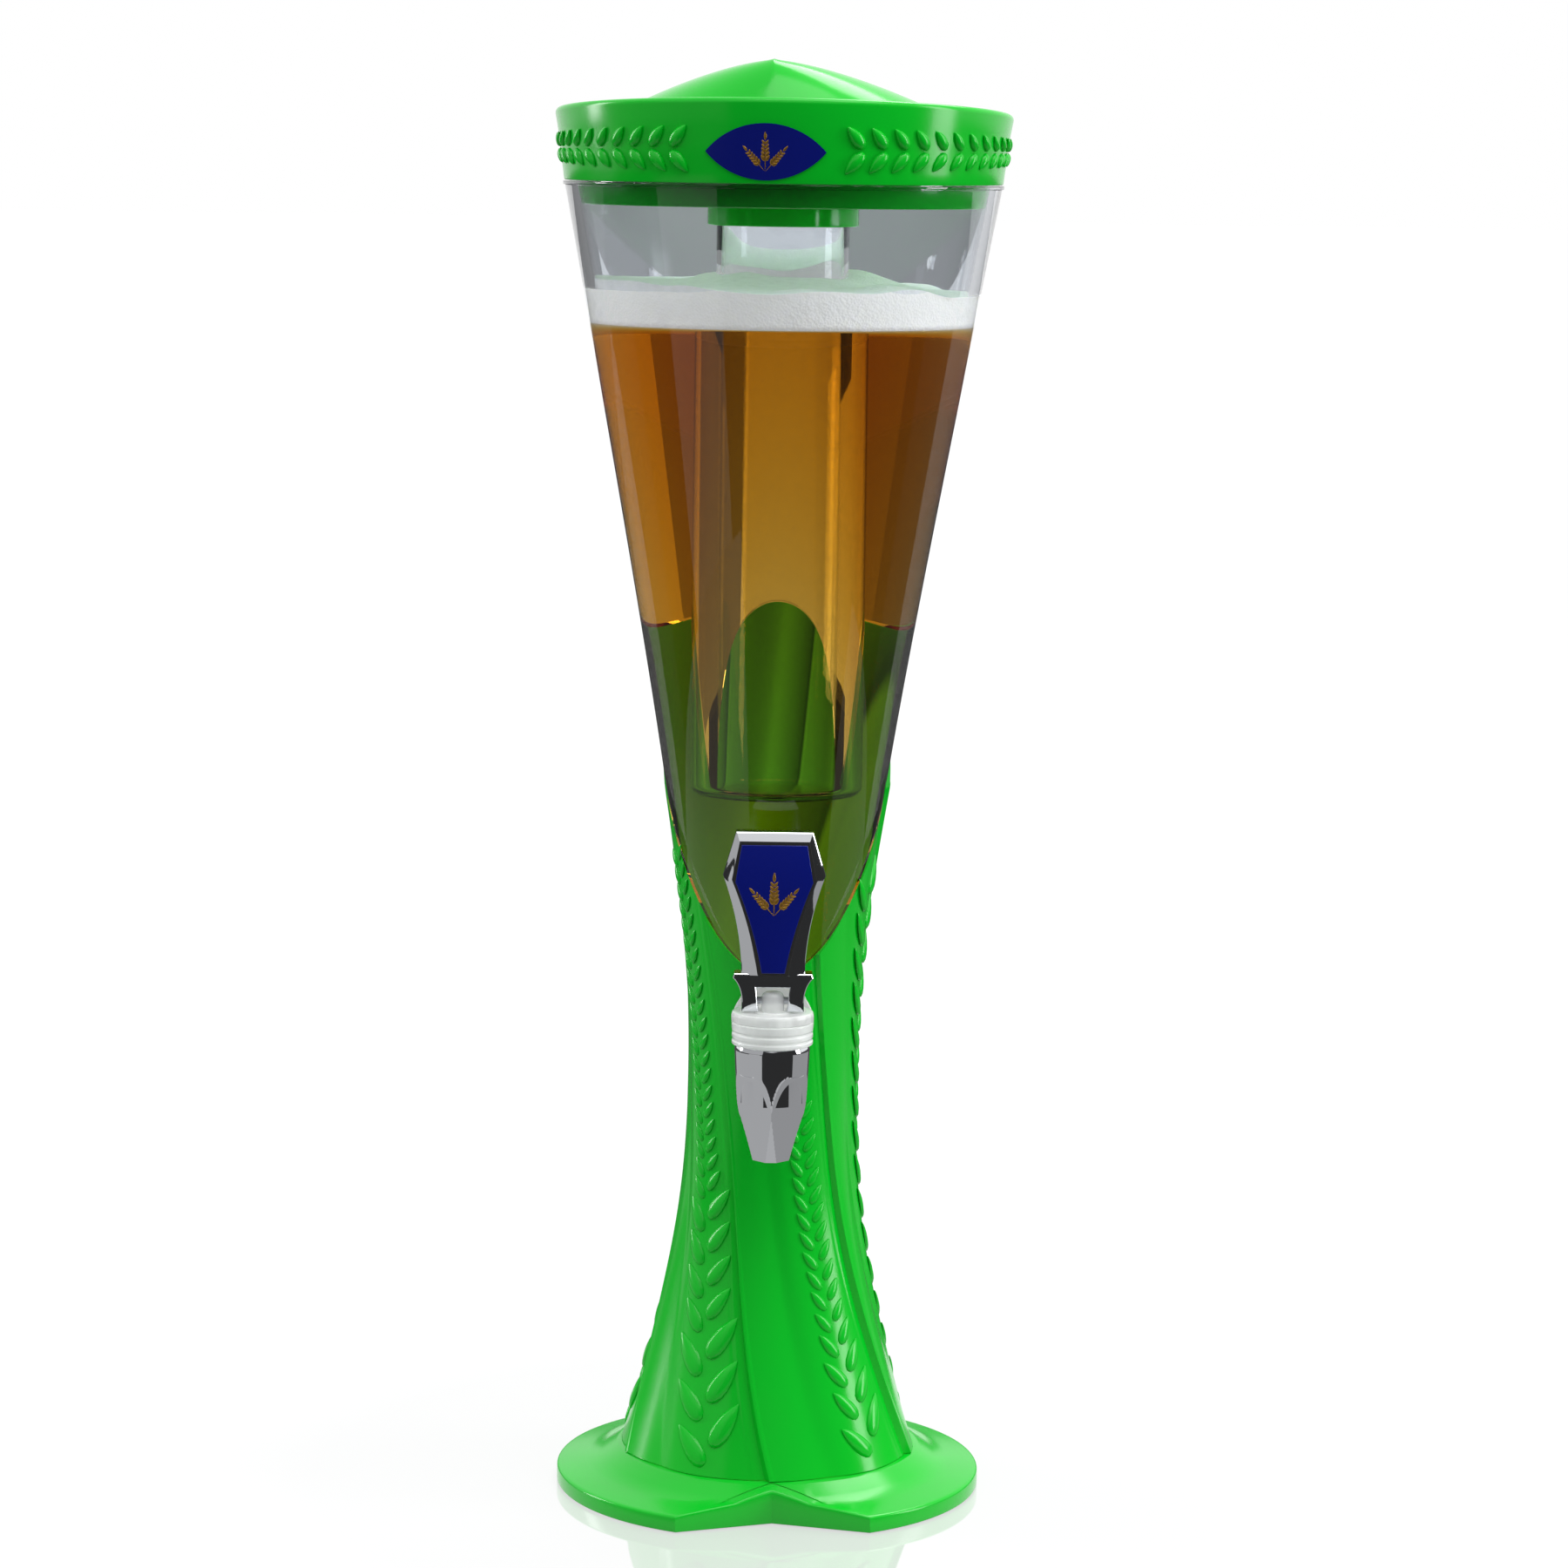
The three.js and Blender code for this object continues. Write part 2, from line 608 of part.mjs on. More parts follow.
// Pointed oval seen from the front, pushed back through the ring and turned to the badge's place
function badgePrism(grow) {
  const half = BADGE_WIDTH / 2 + grow;
  const rise = BADGE_HEIGHT / 2 + grow;
  const arcRadius = (half * half + rise * rise) / (2 * rise);
  const span = Math.asin(half / arcRadius);
  const quarter = Math.PI / 2;
  const shape = new THREE.Shape();
  shape.absarc(0, rise - arcRadius, arcRadius, quarter - span, quarter + span);
  shape.absarc(0, arcRadius - rise, arcRadius, -quarter - span, -quarter + span);
  const options = { depth: RING_TOP_RADIUS + OVERRUN, bevelEnabled: false, curveSegments: BADGE_ARC_STEPS };
  const prism = new THREE.ExtrudeGeometry(shape, options).rotateX(Math.PI / 2);
  return solid(prism.translate(0, 0, MOUTH_HEIGHT + BADGE_MIDDLE).rotateZ(crownTurn));
}

// Solid inside the ring's outer skin, grown by a stand
function ringBlock(stand) {
  const rows = [0, 1].map((share) => row(BODY_SIDES, (azimuth) => ringSkin(azimuth, share, stand)));
  return solid(loft([pole(MOUTH_HEIGHT), ...rows, pole(MOUTH_HEIGHT + RING_MIDDLE_HEIGHT - RING_ROUND)]));
}

function makeRing() {
  const rows = [];
  const add = (spot) => rows.push(row(BODY_SIDES, spot));
  add((azimuth) => ringSkin(azimuth, 0, 0));
  add((azimuth) => ringSkin(azimuth, 1, 0));
  for (const share of [0.5, 1]) {
    const angle = (share * Math.PI) / 2;
    const inward = RING_ROUND * (1 - Math.cos(angle));
    const drop = RING_ROUND * (1 - Math.sin(angle));
    add((azimuth) => [RING_TOP_RADIUS - inward, ringTop(azimuth) - drop]);
  }
  add((azimuth) => [ringBoreRadius, ringTop(azimuth)]);
  add(() => [ringBoreRadius, ringShelf]);
  add(() => [neckRadius + GAP, ringShelf]);
  add(() => [neckRadius + GAP, MOUTH_HEIGHT]);
  const pocket = badgePrism(GAP).subtract(ringBlock(-BADGE_SUNK - GAP));
  piece('top_ring', solid(loft(rows)).subtract(pocket), materials.green);
  const badge = badgePrism(0).intersect(ringBlock(BADGE_STAND)).subtract(ringBlock(-BADGE_SUNK));
  piece('badge_plate', badge, materials.navy);
}

const sealFoot = mouthTop + GAP;
const flangeFoot = sealFoot + SEAL_THICKNESS + GAP;
const flangeTop = flangeFoot + LID_FLANGE_THICKNESS;
const plugFoot = mouthTop - LID_PLUG_DEPTH;

function makeLid() {
  const plugRadius = (height) => cupInnerRadius(height) - LID_PLUG_CLEARANCE;
  const taperHeight = mouthTop - LID_PLUG_TAPER_DEPTH;
  const plateTop = plugFoot + LID_WALL;
  const outline = [
    [0, plugFoot],
    [plugRadius(plugFoot), plugFoot],
    [plugRadius(taperHeight), taperHeight],
    [plugRadius(taperHeight), flangeFoot],
    [LID_FLANGE_RADIUS, flangeFoot],
    [LID_FLANGE_RADIUS, flangeTop],
    [plugRadius(taperHeight) - LID_WALL, flangeTop],
    [plugRadius(taperHeight) - LID_WALL, taperHeight],
    [plugRadius(plateTop) - LID_WALL, plateTop],
    [0, plateTop],
  ];
  piece('lid_base', solid(turned(outline, BODY_SIDES)), materials.green);

  const sealInner = cupInnerRadius(mouthTop) + GAP;
  const sealOuter = sealInner + SEAL_WIDTH;
  const seal = ringSolid(sealInner, sealOuter, sealFoot, sealFoot + SEAL_THICKNESS, BODY_SIDES);
  piece('lid_seal', seal, materials.silicone);
}

// Dome with its peak near the front and a crease from the peak down to the front edge
function makeDome() {
  const foot = flangeTop + GAP;
  const edge = foot + DOME_EDGE;
  const domeSpot = (azimuth, share, inset) => {
    const rim = place(DOME_FOOT_RADIUS - inset, azimuth, 0);
    const peak = new THREE.Vector3(0, -DOME_PEAK_FORWARD, 0);
    const spot = peak.clone().lerp(rim, share);
    const rise = DOME_RISE - DOME_EDGE;
    const crease = Math.exp(-DOME_RIDGE_FALL * Math.abs(Math.sin(azimuth / 2)));
    const bulge = DOME_RIDGE * 4 * share * (1 - share) * crease;
    spot.z = edge + rise * (1 - share ** DOME_POWER) + bulge - (share < 1 ? inset * DOME_SLANT_SHARE : 0);
    return spot;
  };
  const domeRow = (share, inset) => spread(BODY_SIDES).slice(1).map((turn) =>
    domeSpot(turn * FULL_TURN, share, inset));
  const rows = [[domeSpot(0, 0, 0)]];
  for (const share of DOME_ROW_SHARES) rows.push(domeRow(share, 0));
  const turns = spread(BODY_SIDES).slice(1).map((turn) => turn * FULL_TURN);
  rows.push(turns.map((azimuth) => place(DOME_RADIUS, azimuth, edge)));
  rows.push(turns.map((azimuth) => place(DOME_RADIUS, azimuth, foot)));
  rows.push(turns.map((azimuth) => place(DOME_FOOT_RADIUS - DOME_WALL, azimuth, foot)));
  for (const share of [...DOME_INNER_ROW_SHARES].reverse()) {
    if (share < 1) rows.push(domeRow(share, DOME_WALL));
  }
  rows.push([domeSpot(0, 0, DOME_WALL)]);
  piece('lid_dome', solid(loft(rows)).rotate([0, 0, CROWN_TURN_DEG]), materials.green);
}

// Part of a ring between two azimuths either side of a middle one
function lug(inner, outer, low, high, middle) {
  const half = degToRad(LUG_DEG) / 2;
  const shape = new THREE.Shape();
  shape.absarc(0, 0, outer, middle - half, middle + half);
  shape.absarc(0, 0, inner, middle + half, middle - half, true);
  const options = { depth: high - low, bevelEnabled: false, curveSegments: LUG_STEPS };
  return solid(new THREE.ExtrudeGeometry(shape, options).translate(0, 0, low));
}

function makeIceTube() {
  const hubFoot = plugFoot - GAP - HUB_HEIGHT;
  const hubTop = plugFoot - GAP;
  const lipTop = hubFoot + HUB_LIP_HEIGHT;
  const lugRadius = TUBE_RADIUS + TUBE_LUG_STAND;
  const hubBore = lugRadius + HUB_CLEARANCE;
  const tubeTop = hubTop - TUBE_SEAL_THICKNESS - GAP;
  const middles = Array.from({ length: LUG_COUNT }, (_, i) => (i / LUG_COUNT) * FULL_TURN);

  let hub = ringSolid(hubBore, HUB_RADIUS, hubFoot, hubTop, TUBE_SIDES);
  for (const middle of middles) {
    const inward = (HUB_RADIUS - hubBore) / 2;
    hub = hub.add(lug(TUBE_RADIUS + HUB_CLEARANCE, hubBore + inward, hubFoot, lipTop, middle));
  }
  for (let i = 0; i < HUB_SLOT_COUNT; i++) {
    const slot = new THREE.BoxGeometry(2 * HUB_SLOT_DEPTH, HUB_SLOT_WIDTH, 2 * HUB_HEIGHT);
    slot.translate(HUB_RADIUS, 0, hubFoot).rotateZ(((i + 0.5) / HUB_SLOT_COUNT) * FULL_TURN);
    hub = hub.subtract(solid(slot));
  }
  piece('tube_hub', hub, materials.green);

  const seal = ringSolid(TUBE_RADIUS - TUBE_WALL, TUBE_RADIUS, tubeTop + GAP, hubTop, TUBE_SIDES);
  piece('tube_seal', seal, materials.silicone);

  const inner = TUBE_RADIUS - TUBE_WALL;
  const floorTop = TUBE_BOTTOM_HEIGHT + TUBE_WALL;
  const curl = TUBE_CORNER * (1 - Math.SQRT1_2);
  const outline = [
    [0, TUBE_BOTTOM_HEIGHT],
    [TUBE_RADIUS - TUBE_CORNER, TUBE_BOTTOM_HEIGHT],
    [TUBE_RADIUS - curl, TUBE_BOTTOM_HEIGHT + curl],
    [TUBE_RADIUS, TUBE_BOTTOM_HEIGHT + TUBE_CORNER],
    [TUBE_RADIUS, tubeTop],
    [inner, tubeTop],
    [inner, floorTop + TUBE_WALL],
    [inner - TUBE_WALL, floorTop],
    [0, floorTop],
  ];
  let tube = solid(turned(outline, TUBE_SIDES));
  for (const middle of middles) {
    const root = TUBE_RADIUS - TUBE_WALL / 2;
    tube = tube.add(lug(root, lugRadius, lipTop + GAP, lipTop + GAP + TUBE_LUG_HEIGHT, middle));
  }
  piece('ice_tube', tube, materials.cup);
}

const gasketFront = bodyRadius(TAP_HEIGHT) + GASKET_STAND;
const flangeBack = gasketFront + GAP;
const flangeFront = flangeBack + FLANGE_THICKNESS;
const nutFront = cupInnerRadius(TAP_HEIGHT) - GAP - INNER_GASKET_THICKNESS;
const shankEnd = nutFront - NUT_THICKNESS - SHANK_TAIL;
const barrelFoot = TAP_HEIGHT - BARREL_BELOW;
const barrelTop = TAP_HEIGHT + BARREL_ABOVE;
const valveSeat = TAP_HEIGHT - VALVE_SEAT_DROP;
const spigotFoot = barrelFoot - SPIGOT_LENGTH;

// Moves a solid that is made about Z to the tap's upright axis
const toTap = (body) => body.translate([0, -TAP_FORWARD, 0]);

function makeTapBody() {
  const level = [
    [0, shankEnd],
    [SHANK_RADIUS, shankEnd],
    [SHANK_RADIUS, flangeBack],
    [FLANGE_RADIUS, flangeBack],
    [FLANGE_RADIUS, flangeFront],
    [NECK_RADIUS, flangeFront],
    [NECK_RADIUS, TAP_FORWARD],
    [0, TAP_FORWARD],
  ];
  const upright = [
    [0, spigotFoot],
    [SPIGOT_RADIUS, spigotFoot],
    [SPIGOT_RADIUS, barrelFoot],
    [BARREL_RADIUS - BARREL_EDGE, barrelFoot],
    [BARREL_RADIUS, barrelFoot + BARREL_EDGE],
    [BARREL_RADIUS, barrelTop],
    [0, barrelTop],
  ];
  const barrel = toTap(solid(turned(upright, TAP_SIDES)));
  const chamber = toTap(ringSolid(0, CHAMBER_RADIUS, valveSeat, barrelTop + OVERRUN, TAP_SIDES));
  const outlet = toTap(ringSolid(0, OUTLET_RADIUS, spigotFoot - OVERRUN, valveSeat + OVERRUN, TAP_SIDES));
  const bore = forwardSolid(ringOutline(0, BORE_RADIUS, shankEnd - OVERRUN, TAP_FORWARD), TAP_SIDES / 2);
  const body = forwardSolid(level, TAP_SIDES).add(barrel).subtract(chamber).subtract(outlet).subtract(bore);
  piece('tap_body', body, materials.tap);
}

function makeTapSeals() {
  const hole = SHANK_RADIUS + GAP;
  const band = (half, spot) => {
    const rows = spread(CUP_LOWER_ROWS).map((share) =>
      row(BODY_SIDES, (line) => spot(TAP_HEIGHT + (2 * share - 1) * half, line)));
    return solid(loft([pole(TAP_HEIGHT - half), ...rows, pole(TAP_HEIGHT + half)]));
  };
  const skin = band(FLANGE_RADIUS, (height, line) =>
    [columnSkin(height, line) + GAP, height, line + twist(height)]);
  const saddle = forwardSolid(ringOutline(hole, GASKET_RADIUS, 0, gasketFront), TAP_SIDES);
  piece('flange_gasket', saddle.subtract(skin), materials.silicone);

  const hollow = band(NUT_RADIUS, (height) => [cupInnerRadius(height) - GAP, height]);
  const gasketFoot = nutFront + GAP;
  const plug = forwardSolid(ringOutline(hole, INNER_GASKET_RADIUS, gasketFoot, TAP_FORWARD), TAP_SIDES);
  piece('inner_gasket', plug.intersect(hollow), materials.silicone);

  const nut = ringOutline(0, NUT_RADIUS, nutFront - NUT_THICKNESS, nutFront);
  const thread = ringOutline(0, hole, shankEnd, gasketFoot);
  piece('shank_nut', forwardSolid(nut, 6).subtract(forwardSolid(thread, TAP_SIDES)), materials.tap);
}

const bonnetFoot = barrelTop + GAP;
const bonnetTop = bonnetFoot + BONNET_THICKNESS;
const pinHeight = bonnetTop + PIN_ABOVE_BONNET;
const seatCupTop = valveSeat + GAP + SEAT_CUP_HEIGHT;
const stemFoot = seatCupTop + GAP;

// A pin-sized hole or bar along X at the handle's pivot
function crossBar(radius, halfLength) {
  const bar = turned(ringOutline(0, radius, -halfLength, halfLength), SCREW_SIDES);
  return solid(bar.rotateY(Math.PI / 2).translate(0, -TAP_FORWARD, pinHeight));
}

function makeValve() {
  const hole = STEM_RADIUS + GAP;
  const bonnet = [
    [hole, bonnetFoot - BONNET_PLUG_LENGTH],
    [CHAMBER_RADIUS - GAP, bonnetFoot - BONNET_PLUG_LENGTH],
    [CHAMBER_RADIUS - GAP, bonnetFoot],
    [BONNET_RADIUS, bonnetFoot],
    [BONNET_RADIUS, bonnetTop - BONNET_ROUND],
    [BONNET_RADIUS - BONNET_ROUND, bonnetTop],
    [hole, bonnetTop],
    [hole, bonnetFoot - BONNET_PLUG_LENGTH],
  ];
  piece('tap_bonnet', toTap(solid(turned(bonnet, TAP_SIDES))), materials.tap);

  const stemTop = pinHeight + STEM_TOP_STAND;
  const stem = [
    [0, stemFoot],
    [STEM_FOOT_RADIUS, stemFoot],
    [STEM_FOOT_RADIUS, stemFoot + STEM_FOOT_HEIGHT],
    [STEM_RADIUS, stemFoot + STEM_FOOT_HEIGHT],
    [STEM_RADIUS, stemTop - STEM_RADIUS],
    [STEM_RADIUS * Math.SQRT1_2, stemTop - STEM_RADIUS * (1 - Math.SQRT1_2)],
    [0, stemTop],
  ];
  const stemBody = toTap(solid(turned(stem, TAP_SIDES / 2)));
  piece('stem', stemBody.subtract(crossBar(PIN_RADIUS + GAP, STEM_RADIUS + OVERRUN)), materials.tap);

  const seat = [
    [0, valveSeat + GAP],
    [OUTLET_RADIUS + OVERRUN, valveSeat + GAP],
    [SEAT_CUP_RADIUS, valveSeat + GAP + OVERRUN],
    [SEAT_CUP_RADIUS, seatCupTop],
    [0, seatCupTop],
  ];
  piece('seat_cup', toTap(solid(turned(seat, TAP_SIDES / 2))), materials.silicone);
}

function makeNozzle() {
  const top = barrelFoot - GAP;
  const tip = top - NOZZLE_LENGTH;
  const outline = NOZZLE_OUTLINE_SHARES.map(([radiusShare, dropShare]) =>
    [NOZZLE_TOP_RADIUS * radiusShare, top - NOZZLE_LENGTH * dropShare]);
  const sleeve = SPIGOT_RADIUS + GAP;
  const sleeveFoot = spigotFoot - GAP;
  const loop = [
    [sleeve, top],
    ...outline,
    [NOZZLE_TIP_RADIUS, tip],
    [NOZZLE_BORE_RADIUS, tip],
    [NOZZLE_BORE_RADIUS, sleeveFoot - (sleeve - NOZZLE_BORE_RADIUS)],
    [sleeve - OVERRUN, sleeveFoot],
    [sleeve, sleeveFoot],
    [sleeve, top],
  ];
  let nozzle = solid(turned(loop, TAP_SIDES));
  const flatTop = top - NOZZLE_LENGTH * NOZZLE_FLAT_TOP_SHARE;
  const lean = Math.atan2(NOZZLE_TOP_RADIUS - NOZZLE_FLAT_TIP_RADIUS, flatTop - tip);
  for (let i = 0; i < NOZZLE_FLAT_COUNT; i++) {
    const block = new THREE.BoxGeometry(NOZZLE_LENGTH, NOZZLE_LENGTH, 2 * NOZZLE_LENGTH);
    block.translate(NOZZLE_LENGTH / 2, 0, 0).rotateY(lean).translate(NOZZLE_FLAT_TIP_RADIUS, 0, tip);
    block.rotateZ(((i + 0.5) / NOZZLE_FLAT_COUNT) * FULL_TURN);
    nozzle = nozzle.subtract(solid(block));
  }
  piece('nozzle', toTap(nozzle), materials.chrome);
}

// Stands an outline drawn in X and Z upright, between two distances forward of the tap's axis
function uprightSlab(shape, back, front, bevel) {
  const options = {
    depth: front - back - 2 * bevel,
    bevelEnabled: bevel > 0,
    bevelThickness: bevel,
    bevelSize: bevel,
    bevelOffset: -bevel,
    bevelSegments: 1,
    curveSegments: CURVE_STEPS,
  };
  const slab = new THREE.ExtrudeGeometry(shape, options).rotateX(Math.PI / 2);
  return solid(slab.translate(0, -TAP_FORWARD - back - bevel, 0));
}

// Shield outline: narrow at the foot, widest at the shoulder, with hollow flanks
function shieldShape(foot, footHalf, shoulder, shoulderHalf, top, topHalf) {
  const waistHeight = foot + (shoulder - foot) / 2;
  const waistHalf = (footHalf + (shoulderHalf - footHalf) / 2) * PADDLE_WAIST_SHARE;
  const shape = new THREE.Shape();
  shape.moveTo(-footHalf, foot);
  shape.lineTo(footHalf, foot);
  shape.quadraticCurveTo(waistHalf, waistHeight, shoulderHalf, shoulder);
  shape.lineTo(topHalf, top);
  shape.lineTo(-topHalf, top);
  shape.lineTo(-shoulderHalf, shoulder);
  shape.quadraticCurveTo(-waistHalf, waistHeight, -footHalf, foot);
  return shape;
}

function makeHandle() {
  const legFoot = bonnetTop + GAP;
  const earTop = bonnetTop + EAR_HEIGHT + EAR_THICKNESS;
  const earFoot = bonnetTop + EAR_HEIGHT;
  const slotTop = bonnetTop + FORK_SLOT_HEIGHT;
  const fork = new THREE.Shape();
  fork.moveTo(-FORK_HALF_WIDTH, legFoot);
  fork.lineTo(-FORK_SLOT_HALF, legFoot);
  fork.lineTo(-FORK_SLOT_TOP_HALF, slotTop);
  fork.lineTo(FORK_SLOT_TOP_HALF, slotTop);
  fork.lineTo(FORK_SLOT_HALF, legFoot);
  fork.lineTo(FORK_HALF_WIDTH, legFoot);
  fork.quadraticCurveTo(FORK_HALF_WIDTH, slotTop, EAR_HALF_WIDTH, earFoot);
  fork.lineTo(EAR_HALF_WIDTH - EAR_THICKNESS / 2, earTop);
  fork.lineTo(-EAR_HALF_WIDTH + EAR_THICKNESS / 2, earTop);
  fork.lineTo(-EAR_HALF_WIDTH, earFoot);
  fork.quadraticCurveTo(-FORK_HALF_WIDTH, slotTop, -FORK_HALF_WIDTH, legFoot);
  const forkBody = uprightSlab(fork, -FORK_HALF_DEPTH, FORK_HALF_DEPTH, 0);

  const paddleTop = earTop + PADDLE_LENGTH;
  const shoulder = paddleTop - PADDLE_SHOULDER_DROP;
  const paddle = shieldShape(
    earFoot, PADDLE_NECK_HALF, shoulder, PADDLE_SHOULDER_HALF, paddleTop, PADDLE_TOP_HALF);
  const paddleBody = uprightSlab(paddle, -PADDLE_HALF_DEPTH, PADDLE_HALF_DEPTH, PADDLE_BEVEL);

  const insetShape = (grow) => shieldShape(
    earTop + GAP - grow, INSET_BOTTOM_HALF + grow,
    paddleTop - INSET_SHOULDER_DROP, INSET_SHOULDER_HALF + grow,
    paddleTop - INSET_TOP_DROP + grow, INSET_TOP_HALF + grow);
  const insetBack = PADDLE_HALF_DEPTH - INSET_THICKNESS;
  const pocket = uprightSlab(insetShape(GAP), insetBack - GAP, PADDLE_HALF_DEPTH + OVERRUN, 0);
  const pinHole = crossBar(PIN_RADIUS + GAP, FORK_HALF_WIDTH + OVERRUN);
  piece('handle_frame', forkBody.add(paddleBody).subtract(pocket).subtract(pinHole), materials.chrome);
  const inset = uprightSlab(insetShape(0), insetBack, PADDLE_HALF_DEPTH + INSET_STAND, 0);
  piece('handle_inset', inset, materials.navy);
  piece('pivot_pin', crossBar(PIN_RADIUS, FORK_HALF_WIDTH - GAP), materials.steel);
}

makeBase();
makeColumn();
makeCup();
makeRing();
makeLid();
makeDome();
makeIceTube();
makeTapBody();
makeTapSeals();
makeValve();
makeNozzle();
makeHandle();

export default tower;
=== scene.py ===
# A beer tower dispenser: the fine shapes, finishes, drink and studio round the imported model.
# Lengths are in millimetres until a mesh is finished. +Z is up and the tap faces -Y.
# An azimuth is an angle about Z, measured from the tap towards +X.

import math
import random

import bmesh
import bpy
from mathutils import Matrix, Vector


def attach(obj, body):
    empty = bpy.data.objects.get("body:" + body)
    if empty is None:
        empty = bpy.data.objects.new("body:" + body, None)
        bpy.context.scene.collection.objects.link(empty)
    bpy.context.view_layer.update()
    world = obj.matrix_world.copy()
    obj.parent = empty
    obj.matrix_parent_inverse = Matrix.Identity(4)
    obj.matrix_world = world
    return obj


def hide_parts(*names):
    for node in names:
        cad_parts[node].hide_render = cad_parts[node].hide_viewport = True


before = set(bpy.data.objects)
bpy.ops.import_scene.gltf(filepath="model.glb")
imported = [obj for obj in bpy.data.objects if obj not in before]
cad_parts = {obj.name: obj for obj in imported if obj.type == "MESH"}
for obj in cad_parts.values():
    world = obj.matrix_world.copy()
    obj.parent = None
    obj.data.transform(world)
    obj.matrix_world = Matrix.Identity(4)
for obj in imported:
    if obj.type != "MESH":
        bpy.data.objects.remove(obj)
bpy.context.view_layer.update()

MM = 0.001
WELD = 0.0005
FULL_TURN = 2 * math.pi
random.seed(11)

# The outline that the column and the cup share
MOUTH_HEIGHT, MOUTH_RADIUS = 568, 93.2
WAIST_HEIGHT, WAIST_RADIUS = 171, 36.4
FOOT_HEIGHT, FOOT_RADIUS = 17.8, 63.9
CONE_KNEE, FOOT_KNEE, KNEE_POWER = 0.257, 0.6, 2.5
RIM_MIDDLE, RIM_SWING = 310, 78

# Column relief
RIDGE_COUNT, RIDGE_HEIGHT, COLUMN_WALL = 5, 1.8, 2.6
TWIST_DEG, TWIST_HEIGHT, TWIST_POWER, RIDGE_TURN_DEG = -54.8, 272, 0.85, 6.6
RELIEF = [
    (0, 1), (0.015, 0.97), (0.03, 0.8), (0.1, 0.52), (0.2, 0.1), (0.29, -0.3), (0.33, -0.42), (0.37, -0.3),
    (0.42, 0.05), (0.5, 0.3), (0.6, 0.4), (0.7, 0.3), (0.8, 0.1), (0.87, -0.05), (0.9, -0.2), (0.92, -0.1),
    (0.955, -0.35), (0.975, -0.5), (0.988, 0.2), (1, 1),
]

# Cup and what stands in it
CUP_LINING, CUP_CLEARANCE, CUP_SEAT = 2, 0.5, 0.6
CUP_FLOOR, CUP_FLOOR_TOP, CUP_CORNER = 188, 191, 4
NECK_RADIUS, MOUTH_TOP = 90.6, 585
BEER_TOP, FOAM_TOP = 509, 524
LIQUID_OVERLAP = 0.15
TUBE_RADIUS, TUBE_INNER, TUBE_FOOT, TUBE_TOP = 28.3, 25.8, 307, 556.5

# Ring and lid
RING_TOP_RADIUS, RING_MIDDLE, RING_SWING, RING_SLOPE_HEIGHT = 97, 29.4, 5.4, 28.7
LID_FOOT, LID_RADIUS, DOME_RADIUS, PEAK_FORWARD = 589.9, 92.6, 80, 54
DOME_EDGE, DOME_RISE, DOME_WALL, CROWN_TURN = 591.4, 27, 2.4, math.radians(-4.5)
DOME_RIDGE, RIDGE_FALL, DOME_POWER, LID_EDGE = 4, 3.2, 1.435, 0.7

# Tap
TAP_FORWARD, TAP_HEIGHT = 65, 213.5


def knee(share, soft):
    root = (soft ** KNEE_POWER + max(share, 0) ** KNEE_POWER) ** (1 / KNEE_POWER) - soft
    return root / ((soft ** KNEE_POWER + 1) ** (1 / KNEE_POWER) - soft)


def body_radius(height):
    if height > WAIST_HEIGHT:
        share = (height - WAIST_HEIGHT) / (MOUTH_HEIGHT - WAIST_HEIGHT)
        return WAIST_RADIUS + (MOUTH_RADIUS - WAIST_RADIUS) * knee(share, CONE_KNEE)
    share = (WAIST_HEIGHT - height) / (WAIST_HEIGHT - FOOT_HEIGHT)
    return WAIST_RADIUS + (FOOT_RADIUS - WAIST_RADIUS) * knee(share, FOOT_KNEE)


def cup_inner(height):
    return body_radius(min(height, MOUTH_HEIGHT)) - COLUMN_WALL - CUP_CLEARANCE - CUP_LINING


def rim_height(azimuth):
    return RIM_MIDDLE - RIM_SWING * math.cos(azimuth)


def twist(height):
    return math.radians(RIDGE_TURN_DEG + TWIST_DEG * max(height / TWIST_HEIGHT, 0) ** TWIST_POWER)


def between(table, value):
    """A value from a table of points, joined by straight lines"""
    for (left, low), (right, high) in zip(table, table[1:]):
        if value <= right:
            return low + (high - low) * (value - left) / (right - left)
    return table[-1][1]


def azimuth_of(point):
    return math.atan2(point[0], -point[1])


def at(radius, azimuth, height):
    return Vector((radius * math.sin(azimuth), -radius * math.cos(azimuth), height))


# Meshes

def finish_mesh(name, bm, material, body, replaced=(), crease=32):
    """Turns a bmesh in millimetres into a piece that rides on a body"""
    bmesh.ops.remove_doubles(bm, verts=bm.verts, dist=WELD)
    bmesh.ops.dissolve_degenerate(bm, edges=bm.edges, dist=WELD / 10)
    bmesh.ops.recalc_face_normals(bm, faces=bm.faces)
    bmesh.ops.scale(bm, vec=(MM, MM, MM), verts=bm.verts)
    mesh = bpy.data.meshes.new(name)
    bm.to_mesh(mesh)
    bm.free()
    mesh.materials.append(material)
    for polygon in mesh.polygons:
        polygon.use_smooth = True
    mesh.set_sharp_from_angle(angle=math.radians(crease))
    piece = bpy.data.objects.new(name, mesh)
    bpy.context.scene.collection.objects.link(piece)
    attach(piece, body)
    if replaced:
        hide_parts(*replaced)
    return piece


def outline(bm, points, closed):
    """A wire in the XZ plane from (radius, height) or (radius, height, rounding) points"""
    verts = [bm.verts.new((point[0], 0, point[1])) for point in points]
    for start, end in zip(verts, verts[1:]):
        bm.edges.new((start, end))
    if closed:
        bm.edges.new((verts[-1], verts[0]))
    for vert, point in zip(verts, points):
        if len(point) > 2:
            bmesh.ops.bevel(
                bm, geom=[vert, *vert.link_edges], offset=point[2], offset_type="OFFSET", affect="VERTICES",
                segments=4, profile=0.5, material=-1)


